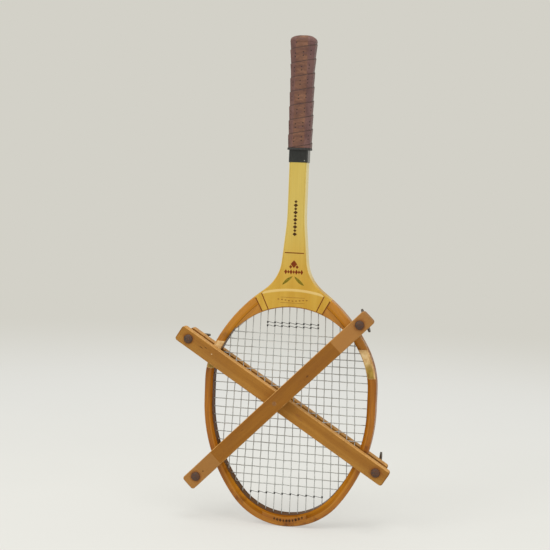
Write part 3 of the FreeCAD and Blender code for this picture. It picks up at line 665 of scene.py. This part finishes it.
def gut_finish():
    """Pale twisted gut, greyer where it is worn."""
    finish = Finish("string_gut", Specular_IOR_Level=0.2)
    twist = finish.noise((420, 900, 420), 3.0, 0.6)
    wear = finish.noise(38.0, 4.0, 0.6)
    finish.colour = twist.ramp((0.35, (170, 173, 172)), (0.65, (200, 202, 200)))
    finish.tint(wear.step(0.5, 0.7) * 0.7, (148, 147, 142))
    return finish.done(twist, 0.05 * MM, twist.ramp((0.3, 0.34), (0.7, 0.5)))


def band_finish():
    """Black lacquered tape round the shaft, with a few pale flecks painted on as glints."""
    finish = Finish("band_black", Coat_Weight=0.55, Coat_Roughness=0.06, Specular_IOR_Level=0.2)
    cloth = finish.noise((500, 500, 160))
    finish.colour = cloth.ramp((0.3, (24, 26, 25)), (0.7, (38, 40, 38)))
    # painted glints: small pale flecks standing in for highlights on the shiny tape
    flecks = finish.cells(finish.point, 190.0).step(0.13, 0.08)
    finish.tint(flecks * finish.noise(120.0, 2.0).step(0.50, 0.56), (190, 186, 176))
    ripple = finish.noise(260.0, 2.0)
    return finish.done(ripple, 0.5 * MM, cloth.ramp((0.3, 0.30), (0.7, 0.45)))


def paint_finish(name, dark, light):
    """Thin printed ornament, rubbed through in places."""
    finish = Finish(name, Specular_IOR_Level=0.12)
    rub = finish.noise(480.0, 4.0, 0.7)
    finish.colour = rub.ramp((0.42, dark), (0.66, light))
    return finish.done(rub, 0.02 * MM, rub.ramp((0.3, 0.35), (0.7, 0.55)))


ash = bow_finish("bow_ash", ((146, 84, 12), (174, 107, 17), (202, 138, 36)), lacquered=True)
dark_ply = bow_finish("bow_dark_ply", ((138, 78, 12), (164, 98, 18), (190, 126, 34)), gloss=0.03)
wedge_wood = bow_finish("throat_block", ((122, 68, 14), (150, 90, 22), (178, 116, 38)))
cream = cream_finish("cream_veneer")
plaque_cream = cream_finish("cream_plaque", painted_top_highlight=True)
shoulder_cream = shoulder_finish()
# scratches and knots: place along and across, length and width in millimetres, strength, colour
UNDER_MARKS = ((-138, 0.8, 4.0, 0.8, 0.8, (66, 40, 22)), (-132, 4.0, 2.6, 0.7, 0.7, (66, 40, 22)),
               (-120, 1.5, 1.3, 1.0, 0.8, (214, 184, 146)), (28, 2.0, 5.0, 2.6, 0.5, (132, 84, 44)),
               (34, -0.9, 4.0, 1.6, 0.45, (140, 90, 48)))
OVER_MARKS = ((60, -3.2, 2.6, 1.5, 0.7, (84, 50, 24)), (54, -4.6, 1.2, 0.9, 0.5, (96, 58, 28)),
              (-146, -1.7, 1.4, 1.2, 0.9, (62, 34, 16)), (-60, 3.0, 3.4, 0.7, 0.4, (92, 56, 28)))
BARS = (("front_under", UNDER_BAR, UNDER_FRONT, 1.3, (154, 103, 40), (168, 117, 49), (181, 132, 62)),
        ("front_over", OVER_BAR, OVER_FRONT, 2.7, (134, 83, 25), (147, 95, 33), (158, 107, 42)),
        ("back_under", UNDER_BAR, BACK, 4.1, (140, 90, 32), (162, 112, 46), (182, 134, 64)),
        ("back_over", OVER_BAR, BACK, 5.9, (134, 84, 28), (156, 104, 40), (174, 124, 56)))
MARKS = {"front_under": UNDER_MARKS, "front_over": OVER_MARKS}
beech = {}
for bar_name, bar, size, seed, *tones in BARS:
    beech[bar_name] = bar_finish("beech_" + bar_name, bar, size, seed, tones,
                                 MARKS.get(bar_name, ()), bevel=bar is OVER_BAR)
leather = leather_finish("grip_leather_wrap", holes=True)
butt_leather = leather_finish("butt_leather", holes=False)
rubber = spotted("collar_rubber", (30, 30, 30), (52, 51, 50), 260.0, (0.45, 0.7))
band = band_finish()
trim = paint_finish("trim_line_paint", (104, 46, 14), (132, 74, 28))
crest_red = paint_finish("ornament_red", (108, 40, 12), (136, 66, 24))
dark_ink = paint_finish("ornament_dark", (56, 34, 16), (92, 60, 28))
leaf_green = paint_finish("ornament_green", (108, 96, 20), (140, 124, 42))
faint_brown = paint_finish("ornament_faint", (140, 94, 36), (166, 122, 54))
tack_brass = spotted("tack_brass", (120, 92, 50), (176, 146, 92), 500.0, (0.3, 0.5), Metallic=0.8)
gut = gut_finish()
thread_black = spotted("trebling_thread", (22, 21, 20), (48, 46, 44), 900.0, (0.6, 0.8), (1, 1, 3))
bolt_rust = rusty("bolt_rust", (72, 60, 54), ((84, 50, 34), (112, 78, 56)), 0.35)
nut_iron = rusty("nut_iron", (92, 90, 86), ((80, 58, 44), (112, 92, 74)), 0.6)
washer_steel = rusty("washer_steel", (140, 136, 128), ((96, 66, 48), (128, 96, 70)), 0.6)
rivet_metal = rusty("rivet_metal", (158, 112, 62), ((120, 80, 42), (146, 100, 54)), 0.2)
plain_lime = spotted("pallet_lime", (140, 106, 66), (176, 142, 98), 60.0, (0.5, 0.65), (6, 6, 0.5))


# ---- carried-over nodes ----

NODE_FINISH = {
    ash: ("bow_outer_ply", "bow_middle_ply", "shaft_centre_strip", "toe_veneer"),
    dark_ply: ("bow_inner_ply",), wedge_wood: ("throat_wedge",), plaque_cream: ("throat_plaque",),
    cream: ("throat_veneer_front", "throat_veneer_back"),
    shoulder_cream: ("shoulder_veneer_left", "shoulder_veneer_right"),
    trim: ("trim_lines_front", "trim_lines_back"),
    plain_lime: ("pallet_right", "pallet_left", "pallet_front", "pallet_back"),
    rubber: ("grip_collar",), band: ("shaft_band",), tack_brass: ("butt_tacks",),
    washer_steel: ("washers_under", "washers_over"),
    rivet_metal: ("pivot_rivet_front", "pivot_rivet_back")}
NODE_FINISH.update({material: ("press_bar_" + bar_name,) for bar_name, material in beech.items()})
for material, node_names in NODE_FINISH.items():
    for node_name in node_names:
        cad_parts[node_name].data.materials.clear()
        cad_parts[node_name].data.materials.append(material)


# ---- strings ----

def eased(stations, steps=6):
    """Points through the stations that swing smoothly in y from one to the next."""
    path = []
    for a, b in zip(stations, stations[1:]):
        for i in range(steps):
            t = i / steps
            point = a.lerp(b, t)
            point.y = a.y + (b.y - a.y) * (1 - math.cos(math.pi * t)) / 2
            path.append(point)
    return path + [stations[-1]]


def over_under(main_number, cross_number):
    """-1 where the main passes in front of the cross, 1 where it passes behind."""
    return 1 if (main_number + cross_number) % 2 else -1


def main_number(side, index):
    """Place of a main from the left, from 0."""
    return MAINS_PER_SIDE + (index - 1 if side > 0 else -index)


def middle_mains(count):
    """(side, index) of that many mains on each side of the middle, from the left."""
    return [(-1, i) for i in range(count, 0, -1)] + [(1, i) for i in range(1, count + 1)]


def main_run(side, index):
    """One main from its blind hole in the throat down to the groove at the toe."""
    number = main_number(side, index)
    top, toe = main_top_z(index), main_toe_z(index, STRING_SEAT)
    stations = [Vector((side * main_x(index, z), -STRING_PLANE, z)) for z in (top + BLIND_HOLE, top)]
    for k in reversed(range(len(cross_heights))):
        z = cross_heights[k]
        x = main_x(index, z)
        if x < outline_x(z, INNER_PLY) - 2 * MM and z < top - 3 * MM:
            stations.append(Vector((side * x, STRING_PLANE * over_under(number, k), z)))
    wall = main_toe_z(index, INNER_PLY)
    for z in (wall, toe):
        stations.append(Vector((side * main_x(index, z), -STRING_PLANE, z)))
    return eased(stations)


def main_strings():
    """Mains in pairs that share a turn in the groove round the toe."""
    pairs = [((-1, 1), (1, 1))]
    for side in (-1, 1):
        pairs += [((side, index), (side, index + 1)) for index in range(2, MAINS_PER_SIDE, 2)]
    tubes = []
    for first, second in pairs:
        path = main_run(*first) + main_run(*second)[::-1]
        tubes.append(tube(rounded(path, 1.3 * MM), STRING / 2))
    return join(tubes)


def cross_strings():
    """All the crosses in one length that turns in the groove at alternate sides."""
    path = []
    for k, z in enumerate(cross_heights):
        edge, wall = outline_x(z, STRING_SEAT), outline_x(z, INNER_PLY)
        stations = [Vector((-edge, STRING_PLANE, z)), Vector((-wall, STRING_PLANE, z))]
        for side, index in middle_mains(MAINS_PER_SIDE):
            x = main_x(index, z)
            if x < wall - 2 * MM:
                y = -STRING_PLANE * over_under(main_number(side, index), k)
                stations.append(Vector((side * x, y, z)))
        stations += [Vector((wall, STRING_PLANE, z)), Vector((edge, STRING_PLANE, z))]
        run = eased(stations)
        path += run if k % 2 == 0 else run[::-1]
    return tube(rounded(path, 1.3 * MM), STRING / 2)


mains = piece("woven_mains", *main_strings(), "racket", "gut", gut)
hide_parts("main_strings")
crosses = piece("woven_crosses", *cross_strings(), "racket", "gut", gut)
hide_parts("cross_strings")


def main_y(side, index, z):
    """How far in front of the strings' middle plane a main lies at height z, near enough."""
    number = main_number(side, index)
    stations = [(main_toe_z(index, INNER_PLY), -STRING_PLANE)]
    stations += [(height, STRING_PLANE * over_under(number, k)) for k, height in enumerate(cross_heights)]
    stations.append((main_top_z(index), -STRING_PLANE))
    below = max(k for k in range(len(stations) - 1) if stations[k][0] < z)
    (low_z, low), (high_z, high) = stations[below], stations[below + 1]
    t = min((z - low_z) / (high_z - low_z), 1)
    return low + (high - low) * (1 - math.cos(math.pi * t)) / 2


def wound_row(z, count):
    """Thread wound some turns round each of the middle mains, with a straight run between them."""
    turns, steps = 3, 12
    coil_radius = STRING / 2 + THREAD * 0.9
    path = []
    for side, index in middle_mains(count):
        centre_x = side * main_x(index, z)
        for i in range(turns * steps + 1):
            share = i / (turns * steps)
            angle = math.pi + math.tau * turns * share
            rise = (share - 0.5) * KNOT_HEIGHT
            centre_y = main_y(side, index, z + rise)
            path.append(Vector((centre_x + coil_radius * math.cos(angle),
                                centre_y + coil_radius * math.sin(angle), z + rise)))
        path[-1].z = z + KNOT_HEIGHT / 2
    return tube(path, THREAD, 6)


throat_rows = join([wound_row(z, 4) for z in THROAT_ROWS_Z])
trebling_throat = piece("wound_thread_throat", *throat_rows, "racket", "thread", thread_black)
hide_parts("trebling_throat")
trebling_toe = piece("wound_thread_toe", *wound_row(TOE_ROW_Z, 5), "racket", "thread", thread_black)
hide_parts("trebling_toe")


# ---- grip ----

def handle_ring(half, corner, count):
    """Points and outward directions round the leather's octagon, from the right, and its girth."""
    half_width, half_depth = half[0] + LEATHER, half[1] + LEATHER
    bevel = HANDLE_BEVEL * half_depth
    pair = [(half_width, half_depth - bevel), (half_width - bevel, half_depth)]
    corners = (pair + [(-x, y) for x, y in reversed(pair)] + [(-x, -y) for x, y in pair]
               + [(x, -y) for x, y in reversed(pair)])
    dense = []
    pull = corner / math.cos(math.radians(22.5))
    for i, (x, y) in enumerate(corners):
        middle = math.radians(22.5 + 45 * i)
        centre = Vector((x, y)) - Vector((math.cos(middle), math.sin(middle))) * pull
        for step in range(7):
            a = math.radians(45 * i + 45 * step / 6)
            out = Vector((math.cos(a), math.sin(a)))
            dense.append((centre + out * corner, out))
    lengths = [0.0]
    for (a, _), (b, _) in zip(dense, dense[1:] + dense[:1]):
        lengths.append(lengths[-1] + (b - a).length)
    dense.append(dense[0])
    # start at the middle of the right flat
    start = -corners[0][1]
    ring, k = [], 0
    for i in range(count):
        wanted = (lengths[-1] * i / count - start) % lengths[-1]
        k = max(j for j in range(len(dense) - 1) if lengths[j] <= wanted)
        t = (wanted - lengths[k]) / max(lengths[k + 1] - lengths[k], 1e-9)
        place = dense[k][0].lerp(dense[k + 1][0], t)
        out = dense[k][1].lerp(dense[k + 1][1], t).normalized()
        ring.append((place, out))
    return ring, lengths[-1]


def wrap_height(over):
    """How far the leather stands out, from the edge that shows to where the next turn hides it."""
    nose = min(over / (0.75 * MM), 1.0)
    return WRAP_THICK * math.sqrt(1 - (1 - nose) ** 2) * (1 - over / WRAP_PITCH)


def hole_dip(lengthwise, over):
    local = (lengthwise / HOLE_PITCH) % 1 * HOLE_PITCH - HOLE_PITCH / 2
    gap = min(math.hypot(local, over - row) for row in HOLE_ROWS)
    return HOLE_DEPTH * max(0.0, 1 - (gap / (HOLE_RADIUS * 1.35)) ** 2)


def grip_wrap():
    """One leather strip wound down the handle from the butt, each turn over the last one's edge."""
    narrow, girth = handle_ring(HANDLE_HALF, HANDLE_SOFTNESS, WRAP_COLUMNS)
    wide, _ = handle_ring(HANDLE_BUTT_HALF, HANDLE_SOFTNESS, WRAP_COLUMNS)
    low, high = GRIP_Z[0] + 0.1 * MM, GRIP_Z[1] + 0.6 * MM
    turns = int((high - low) / WRAP_PITCH) + 2
    first = high + WRAP_PITCH * 0.95
    over_rows = [0, 0.06, 0.16, 0.32, 0.55, 0.8] + [1.3 + (19.3 - 1.3) * i / 33 for i in range(34)]
    vertices, marks = [], []
    columns = WRAP_COLUMNS * turns
    for a in range(columns + 1):
        for over in over_rows:
            over = min(over * MM, WRAP_PITCH)
            z = first - WRAP_PITCH * a / WRAP_COLUMNS - over
            clamped = min(max(z, low), high)
            flare = min(max((clamped - FLARE_START_Z) / (GRIP_Z[1] - FLARE_START_Z), 0), 1)
            near, near_out = narrow[-a % WRAP_COLUMNS]
            far, far_out = wide[-a % WRAP_COLUMNS]
            out = near_out.lerp(far_out, flare).normalized()
            lengthwise = girth * a / WRAP_COLUMNS
            lift = wrap_height(over) - hole_dip(lengthwise, over) - 0.5 * MM
            place = near.lerp(far, flare) + out * lift
            vertices.append(Vector((place.x, place.y, clamped)))
            marks.append((lengthwise / UV_UNIT, over / UV_UNIT))
    rows = len(over_rows)
    faces = []
    for a in range(columns):
        for r in range(rows - 1):
            i = a * rows + r
            corners = (i, i + 1, i + rows + 1, i + rows)
            if max(vertices[c].z for c in corners) - min(vertices[c].z for c in corners) > 1e-6:
                faces.append(corners)
    return vertices, faces, marks


def weld(made, distance):
    """Join vertices that lie on one another and drop what collapses."""
    work = bmesh.new()
    work.from_mesh(made.data)
    bmesh.ops.remove_doubles(work, verts=work.verts, dist=distance)
    loose = [v for v in work.verts if not v.link_faces]
    bmesh.ops.delete(work, geom=loose, context="VERTS")
    bmesh.ops.holes_fill(work, edges=work.edges)
    bmesh.ops.recalc_face_normals(work, faces=work.faces)
    work.to_mesh(made.data)
    work.free()


wrap_vertices, wrap_faces, wrap_marks = grip_wrap()
wrap = piece("grip_wrap", wrap_vertices, wrap_faces, "racket", "leather", leather)
strip_uv = wrap.data.uv_layers.new(name="strip")
for loop in wrap.data.loops:
    strip_uv.data[loop.index].uv = wrap_marks[loop.vertex_index]
weld(wrap, 0.004 * MM)
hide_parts("grip_leather")


def butt_dome():
    """Leather end of the handle: a soft rim, then a low dome that keeps a trace of the octagon."""
    low = GRIP_Z[1] - 1.2 * MM
    rim = low + 3.0 * MM
    profile = [(0.965, low), (1.0, low + 0.5 * MM), (1.012, low + 1.4 * MM), (1.0, rim)]
    steps = 11
    for i in range(1, steps + 1):
        a = math.pi / 2 * i / steps
        profile.append((math.cos(a) ** 0.8 * 0.96 + 0.04, rim + (LENGTH - rim) * math.sin(a)))
    vertices = []
    count = 96
    for scale, z in profile:
        ring, _ = handle_ring(HANDLE_BUTT_HALF, 3.0 * MM + 5 * MM * (1 - scale), count)
        vertices += [Vector((p.x * scale, p.y * scale, z)) for p, _ in ring]
    return vertices, skin(len(profile), count)


butt = piece("butt_end", *butt_dome(), "racket", "leather", butt_leather)
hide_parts("butt_cap")


# ---- printed ornament: plain shapes in place of the maker's words ----

def lozenge(x, z, half_width, half_height):
    return [(x - half_width, z), (x, z - half_height), (x + half_width, z), (x, z + half_height)]


def leaf(root_x, root_z, tip_x, tip_z, fat):
    """Pointed leaf from root to tip, anticlockwise from the front."""
    run = Vector((tip_x - root_x, tip_z - root_z))
    side = Vector((run.y, -run.x)).normalized() * fat
    lower, upper = [], []
    for i in range(9):
        t = i / 8
        bulge = math.sin(math.pi * t) ** 0.8
        spine = Vector((root_x, root_z)) + run * t
        lower.append(spine + side * bulge)
        upper.append(spine - side * bulge * 0.55)
    return [tuple(p) for p in lower + upper[-2:0:-1]]


def ornament(name, outlines, y_front, material):
    """Thin printed shapes on a front face, from outlines in millimetres."""
    plates = []
    for outline in outlines:
        area = sum(a[0] * b[1] - b[0] * a[1] for a, b in zip(outline, outline[1:] + outline[:1]))
        if area < 0:
            outline.reverse()
        back = [Vector((x * MM, -y_front - PRINT_GAP, z * MM)) for x, z in outline]
        plates.append(prism([point - Vector((0, PRINT_THICK, 0)) for point in back], back))
    return piece(name, *join(plates), "racket", "trim_red", material, smooth=False)


crest = [lozenge(0, 370.5, 4.6, 5.6), lozenge(-4.6, 366.6, 2.2, 2.6), lozenge(4.6, 366.6, 2.2, 2.6)]
word_row = [lozenge(-11.2 + 3.75 * i, 359.5, *((1.7, 2.6) if i % 2 else (2.2, 3.6))) for i in range(7)]
leaves = [leaf(side * 1.2, 353.5, side * 15.5, 341.0, 2.6) for side in (-1, 1)]
plaque_row = [lozenge(-20 + 5 * i, 320 + 0.9 * math.cos(i * math.pi / 4), 1.7, 1.1) for i in range(9)]
plaque_row += [[(-17, 316.1), (17, 316.1), (17, 316.6), (-17, 316.6)],
               [(-17, 323.6), (17, 323.6), (17, 324.1), (-17, 324.1)]]
shaft_row = [lozenge(-0.6, 412 + 5 * i, *((2.3, 2.2) if i % 2 else (3.2, 2.7))) for i in range(10)]
toe_row = [lozenge(x, 8.6 + 0.010 * x ** 2, 2.1 if i % 3 else 1.4, 2.4)
           for i, x in enumerate([-14 + 4.4 * i for i in range(10)])]
ornament("crest_lozenges", crest, VENEER_TOP, crest_red)
ornament("throat_lozenge_row", word_row, VENEER_TOP, crest_red)
ornament("throat_leaves", leaves, VENEER_TOP, leaf_green)
ornament("plaque_row", plaque_row, PLAQUE_TOP, faint_brown)
ornament("shaft_lozenge_column", shaft_row, VENEER_TOP, dark_ink)
ornament("toe_lozenge_row", toe_row, VENEER_TOP, dark_ink)


# ---- bolts and wing nuts ----

def bar_matrix(bar):
    """Moves a shape made along +X round its bar's middle to that bar's place."""
    angle, middle = bar
    turn = Matrix.Rotation(angle, 4, Vector((0, -1, 0)))
    return Matrix.Translation(PIVOT) @ turn @ Matrix.Translation((middle, 0, 0))


def thread_groove(start_y):
    """Groove depth of a V thread that begins at start_y."""
    def depth(y, angle):
        if y < start_y:
            return 0.0
        turn = (y / THREAD_PITCH - angle / math.tau) % 1
        fade = min((y - start_y) / THREAD_PITCH, 1)
        return 0.52 * MM * fade * (1 - abs(2 * turn - 1))
    return depth


def carriage_bolt(face_y):
    """Domed head on the front face, shank, then a cut thread past the nut."""
    end_y = face_y + WASHER_THICK + NUT_HEIGHT + BOLT_SPARE
    thread_y = face_y - 8 * MM
    head_radius, head_height = BOLT_HEAD
    rows = [(-face_y - head_height, 0.02 * MM)]
    for i in range(1, 11):
        a = math.pi / 2 * i / 10
        rise = head_height * (0.86 * math.cos(a) + 0.14)
        rows.append((-face_y - rise, head_radius * math.sin(a)))
    rows += [(-face_y - 0.1 * MM, head_radius * 0.995), (-face_y + 0.02 * MM, head_radius * 0.97),
             (-face_y + 0.05 * MM, BOLT_RADIUS), (thread_y, BOLT_RADIUS)]
    steps = int((end_y - thread_y) / (THREAD_PITCH / 8))
    for i in range(1, steps + 1):
        y = thread_y + (end_y - thread_y) * i / steps
        rows.append((y, min(BOLT_RADIUS, 2.3 * MM + (end_y - y))))
    return lathe(rows, 24, thread_groove(thread_y))


def bolt_pair(name, node, body, face_y, bar):
    place = bar_matrix(bar)
    bolt = carriage_bolt(face_y)
    pair = [moved(bolt, place @ Matrix.Translation((s, 0, 0))) for s in (-BOLT_AT, BOLT_AT)]
    made = piece(name, *join(pair), body, "bolt_steel", bolt_rust)
    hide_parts(node)


bolt_pair("threaded_bolts_under", "bolts_under", "press_front_under", UNDER_FRONT_Y, UNDER_BAR)
bolt_pair("threaded_bolts_over", "bolts_over", "press_front_over", OVER_FRONT_Y, OVER_BAR)


def hub():
    """Tapered hub round its bore."""
    outline = [(0, 3.1), (0, 5.7), (0.6, 6.2), (6.6, 5.2), (8.0, 4.7), (8.5, 4.2), (8.5, 3.1)]
    vertices, faces = [], []
    count, sides = len(outline), 40
    for k in range(sides):
        a = math.tau * k / sides
        vertices += [Vector((r * MM * math.cos(a), y * MM, -r * MM * math.sin(a))) for y, r in outline]
    for k in range(sides):
        for i in range(count):
            a, b = k * count + i, k * count + (i + 1) % count
            c, d = (a + count) % (sides * count), (b + count) % (sides * count)
            faces.append((a, c, d, b))
    return vertices, faces


def ear(side):
    """Flat rounded wing, thicker at its root, leaning out from the hub."""
    outline = [(4.3, 1.6), (9.5, 3.0)]
    for i in range(13):
        a = math.radians(-80 + 215 * i / 12)
        outline.append((11.0 + 6.4 * math.cos(a), 9.5 + 6.4 * math.sin(a)))
    outline += [(5.2, 10.4), (4.2, 7.8)]
    faces = []
    for z_side in (-1, 1):
        thick = [1.9 - 0.6 * min(max((x - 4) / 9, 0), 1) for x, _ in outline]
        faces.append([Vector((side * x, y, z_side * half)) * MM for (x, y), half in zip(outline, thick)])
    return prism(*faces)


def cast_nut():
    """Hub and wings melted together into one casting with soft fillets."""
    mesh = new_mesh("nut_raw", *join([hub(), ear(-1), ear(1)]))
    work = bmesh.new()
    work.from_mesh(mesh)
    bmesh.ops.recalc_face_normals(work, faces=work.faces)
    work.to_mesh(mesh)
    work.free()
    raw = new_object("nut_raw", mesh)
    remesh = raw.modifiers.new("melt", "REMESH")
    remesh.mode = "VOXEL"
    remesh.voxel_size = NUT_VOXEL
    soft = raw.modifiers.new("soften", "SMOOTH")
    soft.factor = 0.5
    soft.iterations = 5
    done = bpy.data.meshes.new_from_object(raw.evaluated_get(bpy.context.evaluated_depsgraph_get()))
    shape = [v.co.copy() for v in done.vertices], [list(p.vertices) for p in done.polygons]
    bpy.data.objects.remove(raw)
    bpy.data.meshes.remove(done)
    return shape


nut_shape = cast_nut()
NUTS = (("wing_nut_upper_left", "nut_upper_left", -BOLT_AT, UNDER_FRONT_Y, UNDER_BAR, -32),
        ("wing_nut_lower_right", "nut_lower_right", BOLT_AT, UNDER_FRONT_Y, UNDER_BAR, -120),
        ("wing_nut_upper_right", "nut_upper_right", BOLT_AT, OVER_FRONT_Y, OVER_BAR, -66),
        ("wing_nut_lower_left", "nut_lower_left", -BOLT_AT, OVER_FRONT_Y, OVER_BAR, -5))
for node_name, body, s, face_y, bar, turned in NUTS:
    place = (bar_matrix(bar) @ Matrix.Translation((s, face_y + WASHER_THICK, 0))
             @ Matrix.Rotation(math.radians(turned), 4, "Y"))
    cast = piece("cast_" + node_name, *moved(nut_shape, place), body, "nut_steel", nut_iron)
    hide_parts(node_name)


# ---- studio ----

BACKDROP = (211, 209, 200)
NEAR_FLOOR = (231, 231, 227)
FLOOR_Z = -0.05 * MM
FLOOR_RINGS = (0.6, 2.0, 6.0, 60.0)
FLOOR_SIDES = 96


def floor_finish():
    """Pale paper that fades into the backdrop's colour far from the racket."""
    finish = Finish("floor_paper", Roughness=0.9, Specular_IOR_Level=0.1)
    tone = finish.noise(3.0).ramp((0.3, (230, 230, 227)), (0.7, (234, 234, 231)))
    finish.feed(finish.shader.inputs["Base Color"], tone)
    reach = finish.vector(finish.x, finish.y, 0.0).distance((0, 0, 0))
    shade = finish.blend(reach.step(0.4, 2.7), NEAR_FLOOR, BACKDROP)
    glow = finish.value("ShaderNodeEmission", [shade, 1.0])
    share = finish.choose(reach.step(0.3, 1.5), 0.55, 1.0)
    paper = Value(finish, finish.shader.outputs[0])
    mixed = finish.value("ShaderNodeMixShader", [share, paper, glow])
    finish.feed(finish.tree.nodes["Material Output"].inputs["Surface"], mixed)
    return finish.material


def floor():
    """Round floor: a fan of triangles with three rings round it."""
    vertices = [(0, 0, FLOOR_Z)]
    for reach in FLOOR_RINGS:
        for k in range(FLOOR_SIDES):
            a = math.tau * k / FLOOR_SIDES
            vertices.append((reach * math.cos(a), reach * math.sin(a), FLOOR_Z))
    faces = [(0, 1 + k, 1 + (k + 1) % FLOOR_SIDES) for k in range(FLOOR_SIDES)]
    for ring in range(len(FLOOR_RINGS) - 1):
        for k in range(FLOOR_SIDES):
            a, b = 1 + ring * FLOOR_SIDES + k, 1 + ring * FLOOR_SIDES + (k + 1) % FLOOR_SIDES
            faces.append((a, a + FLOOR_SIDES, b + FLOOR_SIDES, b))
    made = new_object("floor", new_mesh("floor", vertices, faces))
    made.data.materials.append(floor_finish())


def softbox(name, place, aim_z, side, power, colour):
    """Square area light turned to a point on the racket's axis."""
    light = bpy.data.lights.new(name, "AREA")
    light.shape = "RECTANGLE"
    light.size, light.size_y = side, side
    light.energy = power
    light.color = colour
    made = new_object(name, light)
    made.location = place
    made.rotation_euler = (Vector((0, 0, aim_z)) - Vector(place)).to_track_quat("-Z", "Y").to_euler()


floor()
world = bpy.data.worlds.new("studio")
world.use_nodes = True
world.node_tree.nodes["Background"].inputs["Color"].default_value = screen(*BACKDROP)
world.node_tree.nodes["Background"].inputs["Strength"].default_value = 1.0
bpy.context.scene.world = world
softbox("key", (-1.5, -2.0, 2.1), 0.35, 1.3, 26, (1.0, 0.985, 0.95))
softbox("fill", (1.9, -1.6, 1.0), 0.35, 1.4, 7, (0.97, 0.985, 1.0))
softbox("overhead", (0.3, -0.7, 2.4), 0.3, 1.2, 16, (1.0, 0.99, 0.96))
bpy.context.scene.view_settings.view_transform = "Standard"


# ---- camera ----

CAMERA_TARGET = Vector((-28.3 * MM, 0, 353.3 * MM))
CAMERA_DISTANCE = 1.678
CAMERA_AZIMUTH = math.radians(11.75)
CAMERA_ELEVATION = math.radians(4.12)
CAMERA_ROLL = math.radians(2.2)
CAMERA_LENS = 78.5
CAMERA_SENSOR = 36

camera_data = bpy.data.cameras.new("camera")
camera_data.lens = CAMERA_LENS
camera_data.sensor_width = CAMERA_SENSOR
camera = new_object("camera", camera_data)
camera.matrix_world = (Matrix.Translation(CAMERA_TARGET) @ Matrix.Rotation(CAMERA_AZIMUTH, 4, "Z")
                       @ Matrix.Rotation(math.pi / 2 - CAMERA_ELEVATION, 4, "X")
                       @ Matrix.Rotation(CAMERA_ROLL, 4, "Z")
                       @ Matrix.Translation((0, 0, CAMERA_DISTANCE)))
bpy.context.scene.camera = camera
